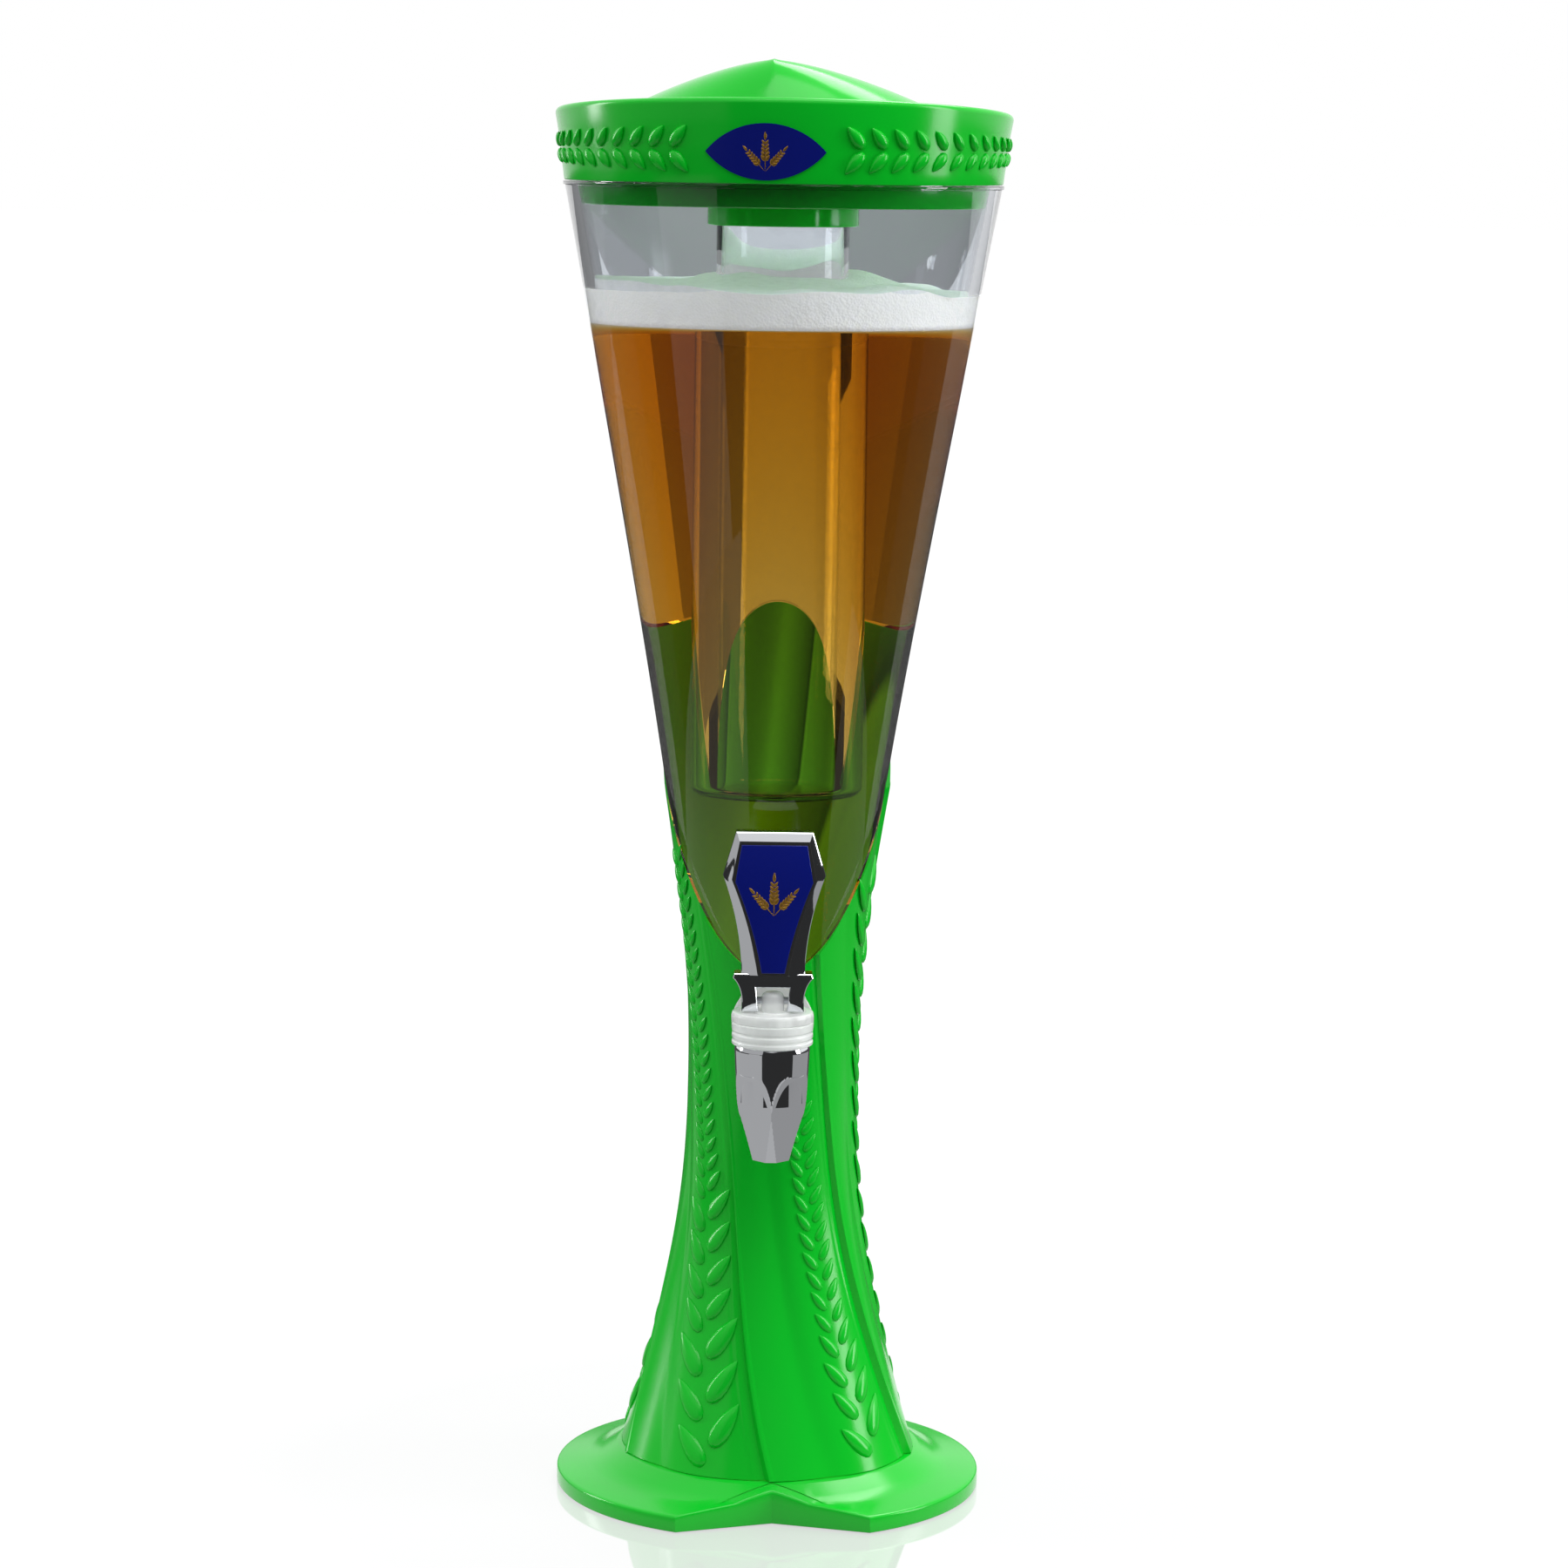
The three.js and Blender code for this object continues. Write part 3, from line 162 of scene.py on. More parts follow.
def turn(points, steps, closed=True, centre=(0, 0, 0)):
    """A shape turned about an upright axis"""
    bm = bmesh.new()
    outline(bm, points, closed)
    spin_about(bm, -math.pi / 2, "Z")
    bmesh.ops.spin(
        bm, geom=[*bm.verts, *bm.edges], cent=(0, 0, 0), axis=(0, 0, 1), angle=FULL_TURN, steps=steps,
        use_merge=True)
    bmesh.ops.remove_doubles(bm, verts=bm.verts, dist=WELD)
    bmesh.ops.translate(bm, vec=centre, verts=bm.verts)
    return bm


def turn_forward(points, steps):
    """A shape turned about the tap's level axis, from (radius, distance forward) points"""
    bm = turn(points, steps)
    spin_about(bm, math.pi / 2, "X")
    bmesh.ops.translate(bm, vec=(0, 0, TAP_HEIGHT), verts=bm.verts)
    return bm


def join(bm, other):
    """Adds the faces of another bmesh, which is then freed"""
    mesh = bpy.data.meshes.new("joined")
    other.to_mesh(mesh)
    other.free()
    bm.from_mesh(mesh)
    bpy.data.meshes.remove(mesh)
    return bm


def spin_about(bm, angle, axis):
    """Turns a bmesh about an axis through the origin"""
    bmesh.ops.rotate(bm, cent=(0, 0, 0), matrix=Matrix.Rotation(angle, 3, axis), verts=bm.verts)


def round_edges(bm, edges, offset, segments):
    bmesh.ops.bevel(
        bm, geom=edges, offset=offset, offset_type="OFFSET", affect="EDGES", segments=segments, profile=0.5,
        material=-1)


def wall_grid(columns, outer_rows, inner_rows):
    """A closed unit tube: radius 1 outside and 0.5 inside, height 0 to 1, with evenly spaced columns"""
    points = [(1, row / outer_rows) for row in range(outer_rows + 1)]
    points += [(0.5, 1 - row / inner_rows) for row in range(inner_rows + 1)]
    return turn(points, columns)


# Materials

def material(name):
    made = bpy.data.materials.new(name)
    made.use_nodes = True
    tree = made.node_tree
    return made, tree.nodes, tree.links, tree.nodes["Principled BSDF"]


def colour(red, green, blue):
    """A colour written as in a picture, from 0 to 255, as the nodes want it"""
    shares = [value / 255 for value in (red, green, blue)]
    return (*[s / 12.92 if s < 0.04045 else ((s + 0.055) / 1.055) ** 2.4 for s in shares], 1)


def put(node, **values):
    """Sets a node's inputs by name, with _ for each space in it"""
    for socket, value in values.items():
        node.inputs[socket.replace("_", " ")].default_value = value


def moulded_group():
    """Slow colour drift, uneven gloss and a faint orange-peel height of moulded plastic"""
    group = bpy.data.node_groups.new("moulded_surface", "ShaderNodeTree")
    face = group.interface
    face.new_socket("Colour", in_out="INPUT", socket_type="NodeSocketColor")
    face.new_socket("Drift Colour", in_out="INPUT", socket_type="NodeSocketColor")
    for name in ("Drift", "Roughness", "Roughness Spread", "Grain Scale"):
        face.new_socket(name, in_out="INPUT", socket_type="NodeSocketFloat")
    face.new_socket("Colour", in_out="OUTPUT", socket_type="NodeSocketColor")
    face.new_socket("Roughness", in_out="OUTPUT", socket_type="NodeSocketFloat")
    face.new_socket("Height", in_out="OUTPUT", socket_type="NodeSocketFloat")
    nodes, links = group.nodes, group.links
    given, out = nodes.new("NodeGroupInput"), nodes.new("NodeGroupOutput")
    place = nodes.new("ShaderNodeTexCoord")
    slow = nodes.new("ShaderNodeTexNoise")
    put(slow, Scale=9)
    links.new(place.outputs["Object"], slow.inputs["Vector"])
    share = nodes.new("ShaderNodeMath")
    share.operation = "MULTIPLY"
    links.new(slow.outputs["Fac"], share.inputs[0])
    links.new(given.outputs["Drift"], share.inputs[1])
    mix = nodes.new("ShaderNodeMix")
    mix.data_type = "RGBA"
    links.new(share.outputs[0], mix.inputs["Factor"])
    links.new(given.outputs["Colour"], mix.inputs["A"])
    links.new(given.outputs["Drift Colour"], mix.inputs["B"])
    links.new(mix.outputs["Result"], out.inputs["Colour"])
    smear = nodes.new("ShaderNodeTexNoise")
    put(smear, Scale=38, Detail=5)
    links.new(place.outputs["Object"], smear.inputs["Vector"])
    gloss = nodes.new("ShaderNodeMath")
    gloss.operation = "MULTIPLY_ADD"
    links.new(smear.outputs["Fac"], gloss.inputs[0])
    links.new(given.outputs["Roughness Spread"], gloss.inputs[1])
    links.new(given.outputs["Roughness"], gloss.inputs[2])
    links.new(gloss.outputs[0], out.inputs["Roughness"])
    grain = nodes.new("ShaderNodeTexNoise")
    put(grain, Detail=2)
    links.new(place.outputs["Object"], grain.inputs["Vector"])
    links.new(given.outputs["Grain Scale"], grain.inputs["Scale"])
    links.new(grain.outputs["Fac"], out.inputs["Height"])
    return group


MOULDED = moulded_group()


def moulded(name, main, drift, drift_share, roughness, spread, grain_scale, bump, **fixed):
    """A plastic, rubber or metal finish on the shared surface group"""
    made, nodes, links, shader = material(name)
    surface = nodes.new("ShaderNodeGroup")
    surface.node_tree = MOULDED
    put(
        surface, Colour=main, Drift_Colour=drift, Drift=drift_share, Roughness=roughness,
        Roughness_Spread=spread, Grain_Scale=grain_scale)
    raised = nodes.new("ShaderNodeBump")
    put(raised, Strength=bump, Distance=0.0002)
    links.new(surface.outputs["Height"], raised.inputs["Height"])
    links.new(surface.outputs["Colour"], shader.inputs["Base Color"])
    links.new(surface.outputs["Roughness"], shader.inputs["Roughness"])
    links.new(raised.outputs["Normal"], shader.inputs["Normal"])
    put(shader, **fixed)
    return made


def see_through(name, main, drift, roughness, spread, ior, shadow, bump=0.02, grain_scale=60):
    """A clear plastic or liquid that lets light through to what stands behind it"""
    made = moulded(
        name, main, drift, 0.5, roughness, spread, grain_scale, bump, Transmission_Weight=1, IOR=ior)
    nodes, links = made.node_tree.nodes, made.node_tree.links
    path, blend = nodes.new("ShaderNodeLightPath"), nodes.new("ShaderNodeMixShader")
    pass_on = nodes.new("ShaderNodeBsdfTransparent")
    put(pass_on, Color=shadow)
    links.new(path.outputs["Is Shadow Ray"], blend.inputs["Fac"])
    links.new(nodes["Principled BSDF"].outputs["BSDF"], blend.inputs[1])
    links.new(pass_on.outputs["BSDF"], blend.inputs[2])
    links.new(blend.outputs["Shader"], nodes["Material Output"].inputs["Surface"])
    return made


GREEN_LOOK = (colour(4, 200, 40), colour(2, 188, 34), 0.6, 0.14, 0.08, 700, 0.05)
GREEN = moulded("green_plastic", *GREEN_LOOK, Specular_IOR_Level=0.36)
# Painted glow: the column's inner side gives off a little green light of its own, standing in for light
# through the translucent wall, so that it shows through the drink
COLUMN = moulded("column_plastic_painted_glow", *GREEN_LOOK, Specular_IOR_Level=0.36, Emission_Color=(0.2, 0.9, 0.1, 1))
painted_inner_glow = COLUMN.node_tree.nodes.new("ShaderNodeAttribute")
painted_inner_glow.attribute_name = "painted_inner_glow"
COLUMN.node_tree.links.new(
    painted_inner_glow.outputs["Fac"], COLUMN.node_tree.nodes["Principled BSDF"].inputs["Emission Strength"])
CUP = see_through(
    "cup_plastic", colour(238, 241, 245), colour(234, 238, 243), 0.0, 0.02, 1.5, colour(225, 228, 232))
TUBE = see_through(
    "tube_plastic", colour(250, 251, 252), colour(248, 250, 251), 0.0, 0.02, 1.5, colour(240, 240, 240))
TAP_CLEAR = see_through(
    "tap_plastic_painted_glow", colour(250, 251, 250), colour(244, 246, 245), 0.03, 0.1, 1.49, colour(235, 238, 236), 0.3,
    420)
# Painted glow: the clear tap parts give off a faint white light of their own, so that they look milky white
put(
    TAP_CLEAR.node_tree.nodes["Principled BSDF"], Transmission_Weight=0.45, Emission_Color=(1, 1, 1, 1),
    Emission_Strength=0.02)
put(CUP.node_tree.nodes["Principled BSDF"], Specular_IOR_Level=0.28)
BEER = see_through(
    "beer", colour(255, 253, 248), colour(255, 250, 240), 0.0, 0.0, 1.31, colour(222, 170, 90), 0.0)
absorb = BEER.node_tree.nodes.new("ShaderNodeVolumeAbsorption")
put(absorb, Color=(0.915, 0.72, 0.05, 1), Density=56)
BEER.node_tree.links.new(absorb.outputs["Volume"], BEER.node_tree.nodes["Material Output"].inputs["Volume"])
CHROME = moulded(
    "chrome", colour(226, 228, 232), colour(214, 216, 222), 0.4, 0.03, 0.04, 200, 0.01, Metallic=1)
NAVY = moulded(
    "navy_panel", colour(8, 26, 138), colour(4, 12, 92), 0.7, 0.1, 0.08, 500, 0.02, Coat_Weight=0.6,
    Coat_Roughness=0.05)
GOLD = moulded(
    "gold_print", colour(196, 152, 62), colour(140, 96, 34), 0.8, 0.28, 0.15, 900, 0.1, Metallic=0.8)
SILICONE = moulded(
    "silicone", colour(222, 225, 220), colour(208, 212, 206), 0.6, 0.4, 0.2, 900, 0.15,
    Subsurface_Weight=0.2, Subsurface_Scale=0.002)
RUBBER = moulded("rubber", colour(26, 26, 27), colour(40, 39, 38), 0.7, 0.7, 0.2, 1400, 0.4)
STEEL = moulded(
    "steel", colour(176, 179, 184), colour(150, 152, 158), 0.6, 0.25, 0.15, 600, 0.1, Metallic=1)
DARK = moulded("dark_plastic", colour(12, 58, 26), colour(8, 44, 20), 0.6, 0.45, 0.2, 1600, 0.4)


def make_foam_material():
    """White froth: bubbles of two sizes in its height, and painted shade, a slightly darker grey in the
    hollows
    """
    made, nodes, links, shader = material("beer_foam_painted_glow")
    place = nodes.new("ShaderNodeTexCoord")
    heights = []
    for scale in (260, 900):
        bubbles = nodes.new("ShaderNodeTexVoronoi")
        put(bubbles, Scale=scale)
        links.new(place.outputs["Object"], bubbles.inputs["Vector"])
        heights.append(bubbles.outputs["Distance"])
    total = nodes.new("ShaderNodeMath")
    links.new(heights[0], total.inputs[0])
    links.new(heights[1], total.inputs[1])
    raised = nodes.new("ShaderNodeBump")
    put(raised, Strength=0.25, Distance=0.0008)
    links.new(total.outputs[0], raised.inputs["Height"])
    links.new(raised.outputs["Normal"], shader.inputs["Normal"])
    # Painted shade: the colour goes to a darker grey in the hollows of the larger bubbles
    hollow_shade_ramp = nodes.new("ShaderNodeValToRGB")
    hollow_shade_ramp.color_ramp.elements[0].color = colour(236, 238, 234)
    hollow_shade_ramp.color_ramp.elements[1].color = colour(254, 254, 252)
    links.new(heights[0], hollow_shade_ramp.inputs["Fac"])
    links.new(hollow_shade_ramp.outputs["Color"], shader.inputs["Base Color"])
    # Painted glow: the froth gives off a little white light of its own, to brighten it where little lamp
    # light reaches inside the cup
    put(
        shader, Roughness=0.75, Subsurface_Weight=0.4, Subsurface_Radius=(0.004, 0.004, 0.003),
        Emission_Color=(1, 1, 0.98, 1), Emission_Strength=0.3)
    return made


FOAM = make_foam_material()


# Base

BASE_RADIUS, BASE_LIFT, BASE_TOP = 92.7, 0.6, 17.5
NOTCH_POINT, NOTCH_HALF_DEG, NOTCH_TURN_DEG, BASE_EDGE_BAND = 70, 26.5, 2, 4
BASE_PLANE = [(0, BASE_TOP), (65.5, BASE_TOP), (76, 10.85), (90.3, 8), (95, 7.06)]


def base_reach(azimuth):
    """Distance from the middle to the base's wall, which runs in to a point at the front"""
    half = math.radians(NOTCH_HALF_DEG)
    if abs(azimuth) >= half:
        return BASE_RADIUS
    across, along = BASE_RADIUS * math.sin(half), BASE_RADIUS * math.cos(half) - NOTCH_POINT
    return NOTCH_POINT * across / (across * math.cos(azimuth) - along * math.sin(abs(azimuth)))


def make_base():
    wall = 2.5
    bm = turn([
        (0, BASE_TOP), (65.5, BASE_TOP, 1.5), (76, 10.85, 4), (83, 9.45), (88.7, 8.32), (90.7, 7.93),
        (BASE_RADIUS, 7.53, 1.1), (BASE_RADIUS, 3), (BASE_RADIUS, BASE_LIFT, 0.5),
        (BASE_RADIUS - wall, BASE_LIFT, 0.5), (BASE_RADIUS - wall, 5), (76, 8.2),
        (65, BASE_TOP - wall), (0, BASE_TOP - wall),
    ], 240, closed=False)
    step = FULL_TURN / 240
    edge = 18 * step
    half = math.radians(NOTCH_HALF_DEG)
    for vert in bm.verts:
        radius, azimuth = vert.co.xy.length, azimuth_of(vert.co)
        if abs(azimuth) <= edge:
            azimuth *= half / edge
        else:
            rest = (abs(azimuth) - edge) / (math.pi - edge)
            azimuth = math.copysign(half + rest * (math.pi - half), azimuth)
        reach = base_reach(azimuth)
        drop = between(BASE_PLANE, radius) - vert.co.z
        inward = BASE_RADIUS - radius
        new = reach - inward if inward < BASE_EDGE_BAND else min(radius, reach - BASE_EDGE_BAND)
        height = vert.co.z if vert.co.z < 2 else between(BASE_PLANE, new) - drop
        vert.co = at(new, azimuth + math.radians(NOTCH_TURN_DEG), height)
    for index in range(3):
        spot = at(30, (index + 0.5) / 3 * FULL_TURN, 0)
        join(bm, turn([(1.8, 4.9), (4.5, 4.9), (4.5, 15.5), (1.8, 15.5)], 24, centre=spot))
    finish_mesh("base_body", bm, GREEN, "root", ("base_shell",))


# Column and its ears of grain

COLUMN_COLUMNS, COLUMN_ROWS, COLUMN_INNER_ROWS = 260, 120, 30
# The relief is least by the tap and grows above and below it
CALM_HEIGHT, CALM_REACH, RELIEF_LEAST, RELIEF_MOST = 200, 150, 0.6, 1.05
LEAF_ROOT, LEAF_POINT, LEAF_NORM, LEAF_UNDERSIDE, LEAF_TIP_RISE = 0.45, 0.8, 2.26, 0.4, 0.25
# Length and upward step of a leaf as shares of the pitch, width as one of the length, and how far each leans
LEAF_LENGTH, RIGHT_STEP, LEAF_WIDTH = 1.22, 0.42, 0.41
RIGHT_LEAN_DEG, LEFT_LEAN_DEG, LEAN_SPREAD_DEG = 41, 28, 3


def column_height(share, line):
    height = FOOT_HEIGHT
    for _ in range(12):
        height = FOOT_HEIGHT + share * (rim_height(line + twist(height)) - FOOT_HEIGHT)
    return height


def column_relief(line, height):
    pitch = FULL_TURN / RIDGE_COUNT
    fade = min(RELIEF_MOST, RELIEF_LEAST + RELIEF_LEAST * abs(height - CALM_HEIGHT) / CALM_REACH)
    return RIDGE_HEIGHT * fade * between(RELIEF, (line % pitch) / pitch)


def make_column():
    bm = wall_grid(COLUMN_COLUMNS, COLUMN_ROWS, COLUMN_INNER_ROWS)
    per_ridge, pitch = COLUMN_COLUMNS / RIDGE_COUNT, FULL_TURN / RIDGE_COUNT
    # Painted glow: the inner faces get an emission strength, weaker behind the ridges and stronger behind
    # the grooves
    light = bm.verts.layers.float.new("painted_inner_glow")
    # The columns crowd together at each ridge and groove, where the relief turns sharply
    crowd = [(0, 0), (8, 0.05), (26, 0.38), (36, 0.82), (48, 0.975), (52, 1)]
    for vert in bm.verts:
        outside = vert.co.xy.length > 0.75
        turned = (azimuth_of(vert.co) / FULL_TURN * COLUMN_COLUMNS) % COLUMN_COLUMNS
        ridge, along = divmod(round(turned), per_ridge)
        line = (ridge + between(crowd, along)) * pitch
        height = column_height(vert.co.z, line)
        raised = column_relief(line, height)
        radius = body_radius(height) + (raised if outside else -COLUMN_WALL)
        vert[light] = 0 if outside else 0.5 - 0.35 * raised / RIDGE_HEIGHT
        vert.co = at(radius, line + twist(height), height)
    finish_mesh("column_body", bm, COLUMN, "root", ("column_shell",), crease=50)


def leaf(length, width, rise):
    """A pointed, crowned leaf along +Y from its root at the origin, standing up +Z"""
    bm = bmesh.new()
    bmesh.ops.create_uvsphere(bm, u_segments=10, v_segments=9, radius=1)
    spin_about(bm, -math.pi / 2, "X")
    for vert in bm.verts:
        share = (vert.co.y + 1) / 2
        full = LEAF_NORM * share ** LEAF_ROOT * (1 - share) ** LEAF_POINT if 0 < share < 1 else 0
        around = Vector((vert.co.x, 0, vert.co.z))
        around = around.normalized() if around.length > 0.001 else around
        lift = LEAF_UNDERSIDE if around.z < 0 else 1
        tip = LEAF_TIP_RISE * rise * share
        vert.co = Vector((around.x * width / 2 * full, share * length, around.z * rise * full * lift + tip))
    return bm


def add_leaf(bm, origin, along, outward, length, width, rise):
    side = along.cross(outward).normalized()
    out = side.cross(along).normalized()
    frame_matrix = Matrix((side, along.normalized(), out)).transposed().to_4x4()
    frame_matrix.translation = origin
    one = leaf(length, width, rise)
    bmesh.ops.transform(one, matrix=frame_matrix, verts=one.verts)
    join(bm, one)


def column_point(line, height, stand=0.0):
    return at(body_radius(height) + column_relief(line, height) + stand, line + twist(height), height)


def make_ear(name, line_deg, low, high, pitches):
    """Pairs of leaves up one band of the column, from a table of (height, pitch)"""
    line = math.radians(line_deg)
    bm = bmesh.new()
    height = low
    while height < high:
        pitch = between(pitches, height)
        length = LEAF_LENGTH * pitch
        point = column_point(line, height)
        up = (column_point(line, height + 2) - point).normalized()
        outward = at(1, line + twist(height), 0.12).normalized()
        across = up.cross(outward).normalized()
        for side in (-1, 1):
            lean_deg = RIGHT_LEAN_DEG if side > 0 else LEFT_LEAN_DEG
            lean = math.radians(lean_deg + LEAN_SPREAD_DEG * random.random())
            root_height = height + (RIGHT_STEP * pitch if side > 0 else 0)
            root = column_point(line + side * 0.015, root_height) + across * side * 0.06 * length
            along = up * math.cos(lean) + across * side * math.sin(lean)
            # The tip stays on the surface, which curves away to the side
            tip = root + along * length
            tip_line = azimuth_of(tip) - twist(tip.z)
            tip = column_point(tip_line, tip.z, 0.1)
            add_leaf(bm, root, tip - root, outward, length, LEAF_WIDTH * length, 0.07 * length + 0.35)
        height += pitch
    finish_mesh(name, bm, GREEN, "root", crease=60)


SMALL_LEAVES = [(0, 18), (60, 18), (75, 14), (118, 14), (125, 11.3), (135, 8.4), (150, 7.4), (400, 7.4)]
MIDDLE_LEAVES = [(0, 16), (30, 16), (45, 12.7), (58, 12.7), (70, 10), (80, 9), (150, 7.4), (400, 7.4)]
LARGE_LEAVES = [(0, 17), (30, 17), (60, 15.5), (400, 15.5)]


def make_ears():
    # Letter, azimuth of the band, lowest and highest leaf, and the leaves' pitches
    ears = (
        ("a", -23.7, 22, 278, SMALL_LEAVES),
        ("b", 48.3, 24, 168, MIDDLE_LEAVES),
        ("c", 120.3, 22, 268, LARGE_LEAVES),
        ("d", 192.3, 24, 336, MIDDLE_LEAVES),
        ("e", 264.3, 22, 362, SMALL_LEAVES),
    )
    for letter, line, low, high, pitches in ears:
        make_ear(f"column_ear_{letter}", line, low, high, pitches)


# Cup, beer and foam

CUP_COLUMNS = 160
CORNER_TOP, WALL_FOOT, BEAD_FOOT = 196, 197, 565.9
CORNER_ANGLES = (0, 0.4, 0.8, 1.2)


def steps_between(low, high, count):
    return [low + (high - low) * index / count for index in range(count + 1)]


def cup_profile(azimuth):
    """Outer outline of the cup at one azimuth, where its ledge sits on the column's slanted rim"""
    ledge = rim_height(azimuth) + CUP_SEAT
    inset = COLUMN_WALL + CUP_CLEARANCE
    middle = body_radius(CORNER_TOP) - inset - CUP_CORNER
    points = [(0, CUP_FLOOR)]
    points += [(middle + CUP_CORNER * math.sin(a), CUP_FLOOR + CUP_CORNER - CUP_CORNER * math.cos(a))
               for a in CORNER_ANGLES]
    points += [(body_radius(z) - inset, z) for z in steps_between(CUP_FLOOR + 6, ledge, 14)]
    points += [(body_radius(z), z) for z in steps_between(ledge, BEAD_FOOT, 44)]
    return points


def make_cup_wall():
    rows = len(cup_profile(0))
    rim = [
        (MOUTH_RADIUS + 0.35, 566.05), (MOUTH_RADIUS + 0.5, 566.4), (MOUTH_RADIUS + 0.5, 567.4),
        (MOUTH_RADIUS + 0.2, 567.7), (NECK_RADIUS, 567.7), (NECK_RADIUS, MOUTH_TOP - 0.6),
        (NECK_RADIUS - 0.6, MOUTH_TOP), (cup_inner(MOUTH_TOP) + 0.6, MOUTH_TOP),
        (cup_inner(MOUTH_TOP), MOUTH_TOP - 0.6), (cup_inner(MOUTH_HEIGHT), MOUTH_HEIGHT),
    ]
    inner = [(cup_inner(z), z) for z in steps_between(MOUTH_HEIGHT - 2, WALL_FOOT, 50)]
    middle = cup_inner(WALL_FOOT) - CUP_CORNER
    corner_top = CUP_FLOOR_TOP + CUP_CORNER
    corner = [(middle + CUP_CORNER * math.cos(a), corner_top - CUP_CORNER * math.sin(a))
              for a in (*CORNER_ANGLES, math.pi / 2)]
    fixed = rim + inner + corner + [(0, CUP_FLOOR_TOP)]
    total = rows + len(fixed)
    # Rows are numbered by height until each is put in its place
    numbered = [(0 if index in (0, total - 1) else 1, index) for index in range(total)]
    bm = turn(numbered, CUP_COLUMNS, closed=False)
    profiles = {}
    for vert in bm.verts:
        azimuth = azimuth_of(vert.co) if vert.co.xy.length > 0.5 else 0
        index = round(vert.co.z)
        key = round(azimuth, 5)
        if index < rows:
            if key not in profiles:
                profiles[key] = cup_profile(azimuth)
            radius, height = profiles[key][index]
        else:
            radius, height = fixed[index - rows]
        vert.co = at(radius, azimuth, height)
    finish_mesh("cup_wall", bm, CUP, "root", ("cup",))


def make_drink():
    wall = [(cup_inner(z) + LIQUID_OVERLAP, z) for z in steps_between(WALL_FOOT, BEER_TOP, 50)]
    hole = TUBE_RADIUS - LIQUID_OVERLAP
    low = CUP_FLOOR_TOP - LIQUID_OVERLAP
    foot = TUBE_FOOT + LIQUID_OVERLAP
    bm = turn([
        (0, low), (wall[0][0], low, 4), *wall, (hole, BEER_TOP), (hole, foot, 5), (0, foot),
    ], CUP_COLUMNS, closed=False)
    finish_mesh("beer_fill", bm, BEER, "root")

    width = cup_inner(FOAM_TOP) + LIQUID_OVERLAP - hole
    top = [(hole + width * share, FOAM_TOP) for share in steps_between(1, 0, 22)]
    low = BEER_TOP - 0.3
    side = [(cup_inner(z) + LIQUID_OVERLAP, z) for z in steps_between(low, FOAM_TOP, 8)]
    bm = turn([(hole, low), *side, *top[1:]], 200)
    ranges = ((-80, 80), (-80, 80), (6, 22), (-1.6, 2.4))
    hills = [[random.uniform(*ends) for ends in ranges] for _ in range(110)]
    for vert in bm.verts:
        if vert.co.z > FOAM_TOP - 0.1:
            for x, y, reach, rise in hills:
                far = ((vert.co.x - x) ** 2 + (vert.co.y - y) ** 2) / reach ** 2
                if far < 6:
                    vert.co.z += rise * math.exp(-far)
            # The froth stands higher round the tube and on the left
            vert.co.z += 3 * math.exp(-((vert.co.xy.length - hole) / 14) ** 2) - 3 * vert.co.x / 88
    finish_mesh("foam_head", bm, FOAM, "root", crease=80)


# Ice tube and hub

def sector_bm(inner, outer, low, high, middle, half_deg):
    """Part of a turned ring between two azimuths"""
    bm = bmesh.new()
    outline(bm, [(inner, low, 0.3), (outer, low, 0.3), (outer, high, 0.3), (inner, high, 0.3)], True)
    face = bmesh.ops.contextual_create(bm, geom=bm.edges)["faces"]
    bmesh.ops.spin(
        bm, geom=face, cent=(0, 0, 0), axis=(0, 0, 1), angle=2 * math.radians(half_deg), steps=14)
    bmesh.ops.recalc_face_normals(bm, faces=bm.faces)
    spin_about(bm, middle - math.radians(half_deg), "Z")
    return bm


def make_ice_tube():
    bm = turn([
        (0, TUBE_FOOT), (TUBE_RADIUS, TUBE_FOOT, 5), (TUBE_RADIUS, 400), (TUBE_RADIUS, TUBE_TOP, 0.5),
        (TUBE_INNER, TUBE_TOP, 0.5), (TUBE_INNER, 400), (TUBE_INNER, 309.5, 2.5), (0, 309.5),
    ], 96, closed=False)
    for index in range(3):
        join(bm, sector_bm(TUBE_RADIUS - 0.2, 29.8, 552.9, 556, index / 3 * FULL_TURN, 25))
    finish_mesh("tube_wall", bm, TUBE, "ice_tube", ("ice_tube",))


def make_hub():
    bm = turn([(30.2, 550, 0.3), (32.3, 550, 0.6), (32.3, 558.2, 0.2), (30.2, 558.2, 0.2)], 144)
    for index in range(3):
        join(bm, sector_bm(28.7, 30.6, 550, 552.6, index / 3 * FULL_TURN, 25))
    for vert in bm.verts:
        radius = vert.co.xy.length
        if radius > 31.6 and math.cos(6 * azimuth_of(vert.co)) < -0.9:
            vert.co.xy *= 1 - 0.8 / radius
    finish_mesh("hub_body", bm, GREEN, "lid", ("tube_hub",))


# Ring, badge and lid

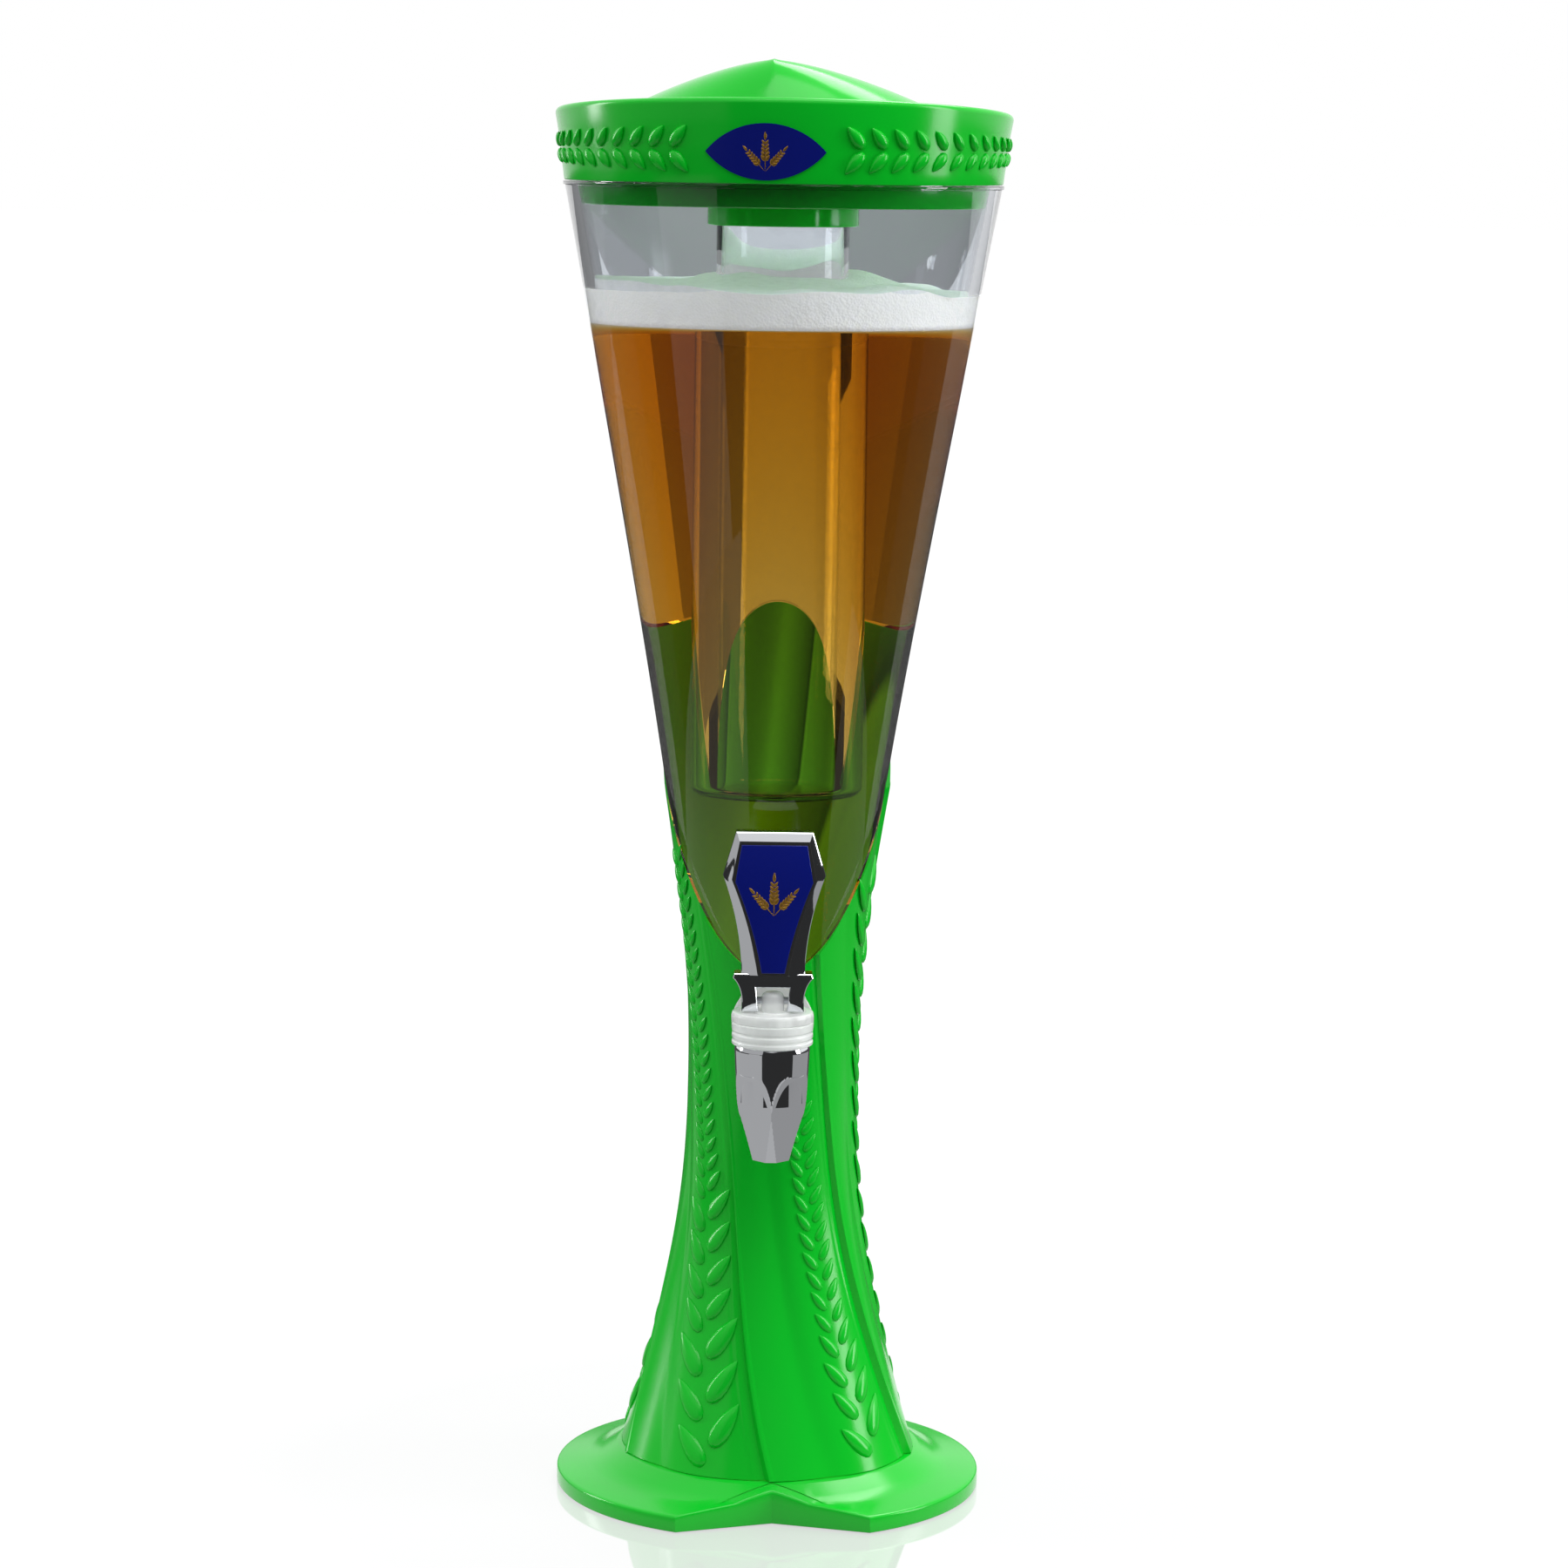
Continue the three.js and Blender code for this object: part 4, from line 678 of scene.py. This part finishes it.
def make_ring():
    top = MOUTH_HEIGHT + RING_MIDDLE
    bm = turn([
        (MOUTH_RADIUS, MOUTH_HEIGHT, 0.5), (93.8, 573), (94.5, 578), (95.2, 584), (95.9, 589),
        (RING_TOP_RADIUS, top - 2.4), (RING_TOP_RADIUS, top, 2), (93.6, top, 0.8), (93.6, 585.3),
        (90.9, 585.3, 0.3), (90.9, MOUTH_HEIGHT, 0.3),
    ], 240)
    for vert in bm.verts:
        if vert.co.z > 585.5:
            share = (vert.co.z - 585.5) / (top - 585.5)
            vert.co.z += RING_SWING * math.cos(azimuth_of(vert.co) - CROWN_TURN) * min(1, share * 1.3)
    finish_mesh("ring_body", bm, GREEN, "root", ("top_ring",))


def ring_radius(height):
    return MOUTH_RADIUS + (RING_TOP_RADIUS - MOUTH_RADIUS) * (height - MOUTH_HEIGHT) / RING_SLOPE_HEIGHT


BADGE_HALF, BADGE_RISE, BADGE_MIDDLE, BADGE_SOFT = 24.5, 11.5, 581, 0.25
EAR_START_DEG, EAR_PITCH_DEG, EAR_PAIRS = 24.5, 6.1, 14


def make_ring_ears():
    for name, side in (("left", -1), ("right", 1)):
        bm = bmesh.new()
        for index in range(EAR_PAIRS):
            size = 11.6 - 5.2 * index / (EAR_PAIRS - 1)
            azimuth = CROWN_TURN + side * math.radians(EAR_START_DEG + index * EAR_PITCH_DEG)
            height = 581.6 + 0.4 * math.cos(azimuth)
            root = at(ring_radius(height) - 0.2, azimuth, height)
            toward = at(1, azimuth, 0).cross(Vector((0, 0, 1))) * side
            outward = at(1, azimuth, 0)
            for up in (-1, 1):
                lean = math.radians(48)
                along = toward * math.cos(lean) + Vector((0, 0, up * math.sin(lean)))
                start = root + Vector((0, 0, up * 0.08 * size))
                tip = start + along * size
                tip = at(ring_radius(tip.z) - 0.1, azimuth_of(tip), tip.z)
                add_leaf(bm, start, tip - start, outward, size, 0.5 * size, 0.17 * size + 0.3)
        finish_mesh(f"ring_ear_{name}", bm, GREEN, "root", crease=60)


def pointed_oval(half, rise, count):
    """The upper arc of a pointed oval, from its left tip to its right tip"""
    arc = (half * half + rise * rise) / (2 * rise)
    span = math.asin(half / arc)
    return [(arc * math.sin(a), arc * math.cos(a) + rise - arc) for a in steps_between(-span, span, count)]


def oval_plate(half, rise, back, front, soft, count=28):
    """A pointed oval plate, wrapped on the ring's skin from a back to a front stand"""
    bm = bmesh.new()
    upper = pointed_oval(half, rise, count)
    lower = [(x, -z) for x, z in upper[-2:0:-1]]
    verts = [bm.verts.new((x, 0, z)) for x, z in upper + lower]
    face = bm.faces.new(verts)
    bmesh.ops.triangulate(bm, faces=[face])
    for _ in range(2):
        long_edges = [edge for edge in bm.edges if edge.calc_length() > 4]
        if long_edges:
            bmesh.ops.subdivide_edges(bm, edges=long_edges, cuts=2, use_grid_fill=True)
    bmesh.ops.triangulate(bm, faces=bm.faces)
    made = bmesh.ops.extrude_face_region(bm, geom=bm.faces[:])
    top = [item for item in made["geom"] if isinstance(item, bmesh.types.BMVert)]
    for vert in top:
        vert.co.y = 1
    for vert in bm.verts:
        stand = front if vert.co.y > 0.5 else back
        if vert.co.y > 0.5 and any(abs(edge.other_vert(vert).co.y) < 0.5 for edge in vert.link_edges):
            stand -= soft
            vert.co.x *= 1 - soft / half
            vert.co.z *= 1 - soft / rise
        height = BADGE_MIDDLE + vert.co.z
        azimuth = CROWN_TURN + math.asin(vert.co.x / ring_radius(height))
        vert.co = at(ring_radius(height) + stand, azimuth, height)
    return bm


def make_badge():
    bm = oval_plate(BADGE_HALF, BADGE_RISE, -0.6, 0.62, BADGE_SOFT)
    finish_mesh("badge_face", bm, NAVY, "root", ("badge_plate",))


GRAIN_LEAN, OUTER_EAR_LEAN, OUTER_EAR_SIZE = 0.62, 0.72, 0.86


def wheat_bm(scale, place):
    """A plain sheaf of three ears of grain, put in place by a function of x, z and stand"""
    bm = bmesh.new()
    for lean, shrink in ((0, 1), (-OUTER_EAR_LEAN, OUTER_EAR_SIZE), (OUTER_EAR_LEAN, OUTER_EAR_SIZE)):
        ear = bmesh.new()
        size = scale * shrink
        for index in range(5):
            grain = size * (1 - 0.07 * index)
            for side in (-1, 1):
                one = leaf(grain, 0.52 * grain, 0.3)
                spin_about(one, side * -GRAIN_LEAN, "Z")
                spot = (side * 0.05 * size, (1.5 + index * 0.58) * size, 0)
                bmesh.ops.translate(one, vec=spot, verts=one.verts)
                join(ear, one)
        for length, width, start in ((1.2 * size, 0.44 * size, 4.4 * size), (4.8 * size, 0.16 * size, 0)):
            one = leaf(length, width, 0.3)
            bmesh.ops.translate(one, vec=(0, start, 0), verts=one.verts)
            join(ear, one)
        spin_about(ear, lean, "Z")
        join(bm, ear)
    for vert in bm.verts:
        vert.co = place(*vert.co)
    return bm


def make_badge_print():
    def on_ring(x, y, z):
        height = BADGE_MIDDLE - 8 + y
        azimuth = CROWN_TURN + x / ring_radius(height)
        return at(ring_radius(height) + 0.5 + z, azimuth, height)
    finish_mesh("badge_print", wheat_bm(2.9, on_ring), GOLD, "root", crease=60)


def dome_point(azimuth, share, inset):
    rim = at(DOME_RADIUS - inset, azimuth, 0)
    peak = Vector((0, -PEAK_FORWARD, 0))
    spot = peak.lerp(rim, share)
    crease = DOME_RIDGE * math.exp(-RIDGE_FALL * abs(math.sin(azimuth / 2)))
    bulge = 4 * share * (1 - share) * crease
    spot.z = DOME_EDGE + DOME_RISE * (1 - share ** DOME_POWER) + bulge - (inset * 1.3 if share < 1 else 0)
    return Matrix.Rotation(CROWN_TURN, 3, "Z") @ spot


def make_dome():
    rows = 30
    # Rows are numbered by height until put in place: the dome, its flat shoulder, then the inside
    outer = [(index / rows, 0) for index in range(rows + 1)]
    shoulder = [(1.05, 1), (1.1, 1), (1.1, 2)]
    inner = [(1, 3), *[(1 - index / 12, 4) for index in range(13)]]
    edge_middle = 1.08
    bm = turn([*outer, *shoulder, *inner], 180, closed=False)
    for vert in bm.verts:
        far, azimuth = vert.co.xy.length, azimuth_of(vert.co) if vert.co.xy.length > 0.001 else 0
        level = round(vert.co.z)
        if level == 0:
            vert.co = dome_point(azimuth, min(far, 1), 0)
        elif level == 1:
            on_top = far < edge_middle
            height = DOME_EDGE - (0 if on_top else 0.6)
            vert.co = at(LID_RADIUS - (LID_EDGE if on_top else 0), azimuth, height)
        elif level == 2:
            vert.co = at(LID_RADIUS, azimuth, LID_FOOT)
        elif level == 3:
            vert.co = dome_point(azimuth, 1, DOME_WALL)
            vert.co.z = LID_FOOT
        else:
            vert.co = dome_point(azimuth, min(far, 0.999), DOME_WALL)
    finish_mesh("dome_shell", bm, GREEN, "lid", ("lid_dome",), crease=24)


def make_lid_plug():
    clearance, wall, foot, flange, flange_radius, top = 0.5, 2.5, 558.5, 587.1, 92.8, 589.6
    inner = cup_inner(MOUTH_TOP) - clearance
    low = cup_inner(foot) - clearance
    bm = turn([
        (0, foot), (low, foot, 0.8), (inner, MOUTH_HEIGHT), (inner, flange), (flange_radius, flange, 0.4),
        (flange_radius, top, 0.4), (inner - wall, top, 0.4), (inner - wall, MOUTH_HEIGHT),
        (low - wall, foot + wall), (0, foot + wall),
    ], 160, closed=False)
    finish_mesh("plug_body", bm, GREEN, "lid", ("lid_base",))


# Tap

def tap_turn(points, steps=72, closed=True):
    return turn(points, steps, closed, (0, -TAP_FORWARD, 0))


def make_tap_body():
    barrel = tap_turn([
        (4.5, 192.6, 0.3), (13, 192.6, 0.5), (13, 208.6, 0.3), (17.2, 208.6, 0.6), (17.2, 210.2, 0.3),
        (16.7, 210.6, 0.2), (16.7, 211.3, 0.2), (17.2, 211.7, 0.3), (17.2, 213.3, 0.3), (16.7, 213.7, 0.2),
        (16.7, 214.4, 0.2), (17.2, 214.8, 0.3), (17.2, 218, 0.4), (11, 218, 0.3), (11, 200, 0.4),
        (4.5, 200, 0.3),
    ])
    finish_mesh("tap_barrel", barrel, TAP_CLEAR, "root", ("tap_body",))
    shank_end, flange_back, flange_front = 18.84, 43.84, 46.34
    shank = turn_forward([
        (2.8, shank_end, 0.4), (8, shank_end, 0.6), (8, flange_back, 0.3), (17.5, flange_back, 0.5),
        (17.5, flange_front, 0.5), (4.4, flange_front, 0.6), (4.4, 53), (2.8, 53),
    ], 64)
    finish_mesh("tap_shank", shank, TAP_CLEAR, "root")


def make_tap_cap():
    bm = tap_turn([
        (5.1, 216.3, 0.2), (10.7, 216.3, 0.3), (10.7, 218.3), (17.5, 218.3, 0.4), (17.5, 221.4, 0.5),
        (16.9, 222.6, 0.7), (14, 222.6, 0.3), (13.5, 222.1, 0.3), (8, 222.1, 0.3), (7.5, 222.6, 0.3),
        (5.1, 222.6, 0.3),
    ], 96)
    for vert in bm.verts:
        x, y = vert.co.x, vert.co.y + TAP_FORWARD
        radius = math.hypot(x, y)
        if radius > 17.2:
            grip = 1 - 0.25 * (0.5 + 0.5 * math.cos(24 * math.atan2(x, y))) / radius
            vert.co.x, vert.co.y = x * grip, y * grip - TAP_FORWARD
    finish_mesh("tap_cap", bm, TAP_CLEAR, "root", ("tap_bonnet",))


def make_stem():
    bm = tap_turn([
        (0, 206.3), (7, 206.3, 0.3), (7, 208, 0.3), (4.8, 208, 0.3), (4.8, 214), (4.8, 230.8, 2.6),
        (0, 230.8),
    ], 48, False)
    finish_mesh("valve_rod", bm, TAP_CLEAR, "stem", ("stem",))


NOZZLE_TOP, NOZZLE_LENGTH = 208.3, 49.6
NOZZLE_OUTLINE = [
    (0, 16.2), (0.27, 15.5), (0.5, 14.6), (0.66, 13.2), (0.8, 11.2), (0.97, 8.6), (1, 8.2),
]
NOZZLE_BORE, NOZZLE_SLEEVE = 5.5, 13.3
# Two rings of four scoops: turn, half angle, first share of the length, reach there, its loss and the power
SCOOPS = ((0.5, 1.2, 0.24, 15.4, 8.3, 0.5), (0, 0.8, 0.59, 13.9, 6.2, 0.9))


def make_nozzle():
    rows = 72
    points = [(100, index / rows) for index in range(rows + 1)]
    bm = turn([*points, (50, 1), (50, 0.5), (40, 0.5), (40, 0)], 192)
    for vert in bm.verts:
        layer, share, azimuth = vert.co.xy.length, vert.co.z, azimuth_of(vert.co)
        height = NOZZLE_TOP - NOZZLE_LENGTH * share
        if layer > 75:
            radius = between(NOZZLE_OUTLINE, share)
            if share < 0.03:
                radius -= 0.6 * (1 - share / 0.03)
            for index in range(4):
                for part, half, start, reach, loss, power in SCOOPS:
                    off = math.remainder(azimuth - (index + part) / 4 * FULL_TURN, FULL_TURN)
                    if abs(off) < half and share > start:
                        along = (share - start) / (1 - start)
                        radius = min(radius, (reach - loss * along ** power) / math.cos(off))
        else:
            radius = NOZZLE_BORE if layer > 45 else NOZZLE_SLEEVE
        vert.co = at(radius, azimuth, height)
        vert.co.y -= TAP_FORWARD
    finish_mesh("spout", bm, CHROME, "root", ("nozzle",), crease=22)


def shield(foot, foot_half, shoulder, shoulder_half, top, top_half, waist_share, count=10):
    """Outline of the paddle: narrow at the foot, widest at the shoulder, with hollow flanks"""
    waist_height = foot + (shoulder - foot) / 2
    waist_half = (foot_half + (shoulder_half - foot_half) / 2) * waist_share
    right = []
    for share in steps_between(0, 1, count):
        a, b, c = (1 - share) ** 2, 2 * share * (1 - share), share ** 2
        half = a * foot_half + b * waist_half + c * shoulder_half
        right.append((half, a * foot + b * waist_height + c * shoulder))
    right.append((top_half, top))
    return right + [(-x, z) for x, z in reversed(right)]


def upright(points, back, front, soft, segments=3):
    """A soft-edged plate from an outline in X and Z, between two distances forward of the tap's axis"""
    bm = bmesh.new()
    verts = [bm.verts.new((x, -TAP_FORWARD - back, z)) for x, z in points]
    face = bm.faces.new(verts)
    made = bmesh.ops.extrude_face_region(bm, geom=[face])
    top = [item for item in made["geom"] if isinstance(item, bmesh.types.BMVert)]
    bmesh.ops.translate(bm, vec=(0, back - front, 0), verts=top)
    bmesh.ops.recalc_face_normals(bm, faces=bm.faces)
    if soft:
        rims = [edge for edge in bm.edges if abs(edge.verts[0].co.y - edge.verts[1].co.y) < 0.01]
        round_edges(bm, rims, soft, segments)
    return bm


def raised_bezel(foot, crown, back, front):
    """A closed frustum between two outlines with as many points, with its sharp upper edge rounded"""
    bm = bmesh.new()
    low = [bm.verts.new((x, -TAP_FORWARD - back, z)) for x, z in foot]
    high = [bm.verts.new((x, -TAP_FORWARD - front, z)) for x, z in crown]
    bm.faces.new(low)
    bm.faces.new(high)
    for index in range(len(low)):
        after = (index + 1) % len(low)
        bm.faces.new((low[index], low[after], high[after], high[index]))
    bmesh.ops.recalc_face_normals(bm, faces=bm.faces)
    rim = [edge for edge in bm.edges if all(vert in high for vert in edge.verts)]
    round_edges(bm, rim, 0.5, 2)
    return bm


def make_handle():
    leg_foot, slot_top, ear_foot, ear_top = 222.9, 233, 237.2, 239.2
    right = [(5.9, leg_foot), (13.2, leg_foot)]
    for share in steps_between(0.1, 1, 9):
        a, b, c = (1 - share) ** 2, 2 * share * (1 - share), share ** 2
        right.append((a * 13.2 + b * 12.4 + c * 17, a * leg_foot + b * slot_top + c * ear_foot))
    right += [(16.4, ear_top), (15, ear_top)]
    fork = [(7, slot_top), *right, *[(-x, z) for x, z in reversed(right)], (-7, slot_top)]
    bm = upright(fork, -4.8, 4.8, 0.9)
    paddle = shield(237.6, 13.4, 280.7, 21.6, 299.2, 16.2, 0.78)
    join(bm, upright(paddle, -6, 3.8, 1.2))
    trim = shield(238.6, 6.4, 279.2, 17.8, 295.4, 14.6, 0.78)
    join(bm, raised_bezel(shield(238.2, 13, 280.6, 21.1, 298.7, 15.8, 0.78), trim, 3.7, 6))
    finish_mesh("lever_frame", bm, CHROME, "handle", ("handle_frame",), crease=26)
    # Painted shade: a thin black sheet over the bezel's top face shows as the dark groove round the navy
    # panel
    groove = upright(trim, 5.7, 6.12, 0.1, 1)
    finish_mesh("lever_groove_shade_sheet", groove, RUBBER, "handle")
    panel = shield(239.5, 4.9, 278.2, 16.3, 294, 13.8, 0.78)
    face = upright(panel, 5.6, 6.4, 0.3)
    finish_mesh("lever_panel", face, NAVY, "handle", ("handle_inset",))

    def on_panel(x, y, z):
        return Vector((x, -TAP_FORWARD - 6.34 - z, 264 + y))
    finish_mesh("lever_print", wheat_bm(3.3, on_panel), GOLD, "handle", crease=60)


def dress_frame():
    """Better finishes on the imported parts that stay"""
    finishes = (
        ("foot_pad", RUBBER), ("cover_screw", STEEL), ("column_screw", STEEL), ("base_cover", DARK),
        ("lid_seal", SILICONE), ("tube_seal", SILICONE), ("flange_gasket", SILICONE),
        ("inner_gasket", SILICONE), ("seat_cup", SILICONE), ("shank_nut", TAP_CLEAR), ("pivot_pin", STEEL),
    )
    for name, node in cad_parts.items():
        for start, finish in finishes:
            if name.startswith(start):
                node.material_slots[0].material = finish


make_base()
make_column()
make_ears()
make_cup_wall()
make_drink()
make_ice_tube()
make_hub()
make_ring()
make_ring_ears()
make_badge()
make_badge_print()
make_lid_plug()
make_dome()
make_tap_body()
make_tap_cap()
make_stem()
make_nozzle()
make_handle()
dress_frame()


# Studio

def stage_piece(name, bm, made):
    """A piece of the studio from a bmesh in metres"""
    mesh = bpy.data.meshes.new(name)
    bm.to_mesh(mesh)
    bm.free()
    mesh.materials.append(made)
    card = bpy.data.objects.new(name, mesh)
    bpy.context.scene.collection.objects.link(card)
    return card


def seen_directly(nodes, links):
    """1 for camera, glossy and transmission rays, and 0 for the rays that light the object"""
    path = nodes.new("ShaderNodeLightPath")
    pair, all_three = nodes.new("ShaderNodeMath"), nodes.new("ShaderNodeMath")
    pair.operation = all_three.operation = "MAXIMUM"
    links.new(path.outputs["Is Camera Ray"], pair.inputs[0])
    links.new(path.outputs["Is Glossy Ray"], pair.inputs[1])
    links.new(pair.outputs[0], all_three.inputs[0])
    links.new(path.outputs["Is Transmission Ray"], all_three.inputs[1])
    return all_three.outputs[0]


FLOOR_GLOW, MIRROR_SHARE, MIRROR_NEAR, MIRROR_FAR = 0.91, 0.34, 0.2, 0.5


def make_floor():
    made, nodes, links, shader = material("floor")
    put(shader, Base_Color=(0.15, 0.15, 0.15, 1), Roughness=0.9, Specular_IOR_Level=0.0)
    glow, add = nodes.new("ShaderNodeEmission"), nodes.new("ShaderNodeAddShader")
    shine, mix = nodes.new("ShaderNodeBsdfGlossy"), nodes.new("ShaderNodeMixShader")
    put(shine, Roughness=0.04)
    # The floor mirrors only close to the object
    place, reach = nodes.new("ShaderNodeTexCoord"), nodes.new("ShaderNodeVectorMath")
    near = nodes.new("ShaderNodeMapRange")
    reach.operation = "LENGTH"
    put(near, From_Min=MIRROR_NEAR, From_Max=MIRROR_FAR, To_Min=MIRROR_SHARE, To_Max=0)
    links.new(place.outputs["Object"], reach.inputs[0])
    links.new(reach.outputs["Value"], near.inputs["Value"])
    links.new(near.outputs["Result"], mix.inputs["Fac"])
    strength = nodes.new("ShaderNodeMath")
    strength.operation = "MULTIPLY"
    strength.inputs[1].default_value = FLOOR_GLOW
    links.new(seen_directly(nodes, links), strength.inputs[0])
    links.new(strength.outputs[0], glow.inputs["Strength"])
    links.new(shader.outputs["BSDF"], add.inputs[0])
    links.new(glow.outputs["Emission"], add.inputs[1])
    links.new(add.outputs["Shader"], mix.inputs[1])
    links.new(shine.outputs["BSDF"], mix.inputs[2])
    links.new(mix.outputs["Shader"], nodes["Material Output"].inputs["Surface"])
    bm = bmesh.new()
    bmesh.ops.create_grid(bm, x_segments=1, y_segments=1, size=30)
    floor = stage_piece("floor", bm, made)
    floor.visible_glossy = floor.visible_transmission = False


def make_card(name, span_deg, start, end, grey, glossy=True, through=True):
    """A screen round the stage from one (distance, height) to another, for reflections and refractions"""
    made, _, _, shader = material(name)
    put(
        shader, Base_Color=(0, 0, 0, 1), Specular_IOR_Level=0.0, Emission_Color=(1, 1, 1, 1),
        Emission_Strength=grey)
    bm = bmesh.new()
    low, high = (math.radians(angle) for angle in span_deg)
    verts = [bm.verts.new(at(distance, low, height)) for distance, height in (start, end)]
    edge = bm.edges.new(verts)
    bmesh.ops.spin(bm, geom=[*verts, edge], cent=(0, 0, 0), axis=(0, 0, 1), angle=high - low, steps=24)
    card = stage_piece(name, bm, made)
    card.visible_camera = card.visible_diffuse = card.visible_shadow = False
    card.visible_glossy = glossy
    card.visible_transmission = through


def make_world():
    world = bpy.data.worlds.new("studio")
    bpy.context.scene.world = world
    world.use_nodes = True
    nodes, links = world.node_tree.nodes, world.node_tree.links
    plain = nodes["Background"]
    put(plain, Color=(0.95, 0.98, 1, 1), Strength=0.7)
    white = nodes.new("ShaderNodeBackground")
    put(white, Color=(1, 1, 1, 1))
    mix = nodes.new("ShaderNodeMixShader")
    links.new(seen_directly(nodes, links), mix.inputs["Fac"])
    links.new(plain.outputs["Background"], mix.inputs[1])
    links.new(white.outputs["Background"], mix.inputs[2])
    links.new(mix.outputs["Shader"], nodes["World Output"].inputs["Surface"])


def make_lamp(name, place, aim, width, height, power):
    lamp = bpy.data.lights.new(name, "AREA")
    lamp.shape = "RECTANGLE"
    lamp.size, lamp.size_y = width, height
    lamp.energy = power
    holder = bpy.data.objects.new(name, lamp)
    holder.location = place
    holder.rotation_euler = (Vector(aim) - Vector(place)).to_track_quat("-Z", "Y").to_euler()
    holder.visible_camera = False
    bpy.context.scene.collection.objects.link(holder)


SENSOR_WIDTH, FOCAL_PIXELS, PICTURE_PIXELS = 36, 5238, 1800
CAMERA_PLACE, CAMERA_DOWN_DEG, CAMERA_ROLL_DEG = (0.0035, -1.9546, 0.588), 8.1, 0.765


def make_camera():
    camera = bpy.data.cameras.new("camera")
    camera.sensor_width = SENSOR_WIDTH
    camera.lens = SENSOR_WIDTH * FOCAL_PIXELS / PICTURE_PIXELS
    camera.clip_end = 100
    holder = bpy.data.objects.new("camera", camera)
    tilt = Matrix.Rotation(math.radians(90 - CAMERA_DOWN_DEG), 4, "X")
    roll = Matrix.Rotation(math.radians(CAMERA_ROLL_DEG), 4, "Z")
    holder.matrix_world = Matrix.Translation(CAMERA_PLACE) @ tilt @ roll
    bpy.context.scene.collection.objects.link(holder)
    bpy.context.scene.camera = holder


make_floor()
make_world()
make_card("front_screen", (-96, 96), (3.2, -0.3), (3.2, 2.4), 0.03)
make_card("under_floor", (-180, 180), (0, -0.002), (30, -0.002), 1)
make_card("under_front", (-130, 130), (0.3, -0.001), (3.2, -0.001), 0.03)
make_card("back_left", (-165, -100), (2.8, -0.3), (2.8, 2.4), 0.3, glossy=False)
make_card("back_right", (142, 165), (2.8, -0.3), (2.8, 2.4), 0.9, glossy=False)
make_card("back_middle", (160, 200), (2.75, 0.38), (2.75, 1.2), 0.4, glossy=False)
make_card("edge_left", (-178, -100), (2.7, 0), (2.7, 0.3), 0.08, through=False)
make_card("edge_right", (96, 178), (2.7, 0), (2.7, 0.3), 0.08, through=False)
make_card("edge_floor_left", (-178, -100), (0.3, -0.0006), (2.7, -0.0006), 0.08, through=False)
make_card("edge_floor_right", (96, 178), (0.3, -0.0006), (2.7, -0.0006), 0.08, through=False)
make_card("glint_left", (-100, -28), (3.1, 0), (3.1, 2), 0.45, through=False)
make_card("glint_bezel", (-70, -35), (1, -0.0005), (1.9, -0.0005), 0.5, through=False)
make_card("glint_floor_left", (-140, -28), (0.12, -0.0005), (1, -0.0005), 0.45, through=False)
make_card("glint_floor_right", (62, 140), (0.12, -0.0005), (1, -0.0005), 0.35, through=False)
make_card("glint_floor_near", (-28, 62), (0.12, -0.0004), (0.52, -0.0004), 0.5, through=False)
make_card("glint_top", (-70, 30), (2.6, 1.5), (1.2, 2.5), 0.8, through=False)
make_lamp("left_strip", (-2.7, 0.9, 0.8), (0, 0, 0.35), 0.5, 2.2, 32)
make_lamp("right_strip", (2.6, -0.2, 0.9), (0, 0, 0.35), 0.7, 2.2, 34)
make_lamp("top_soft", (0.6, -0.9, 2.7), (0, 0, 0.3), 2.2, 1.6, 30)
make_lamp("back_soft", (0.8, 1.5, 2.6), (0, 0, 0.6), 1.2, 1.2, 26)
make_camera()
scene = bpy.context.scene
scene.view_settings.view_transform = "Standard"
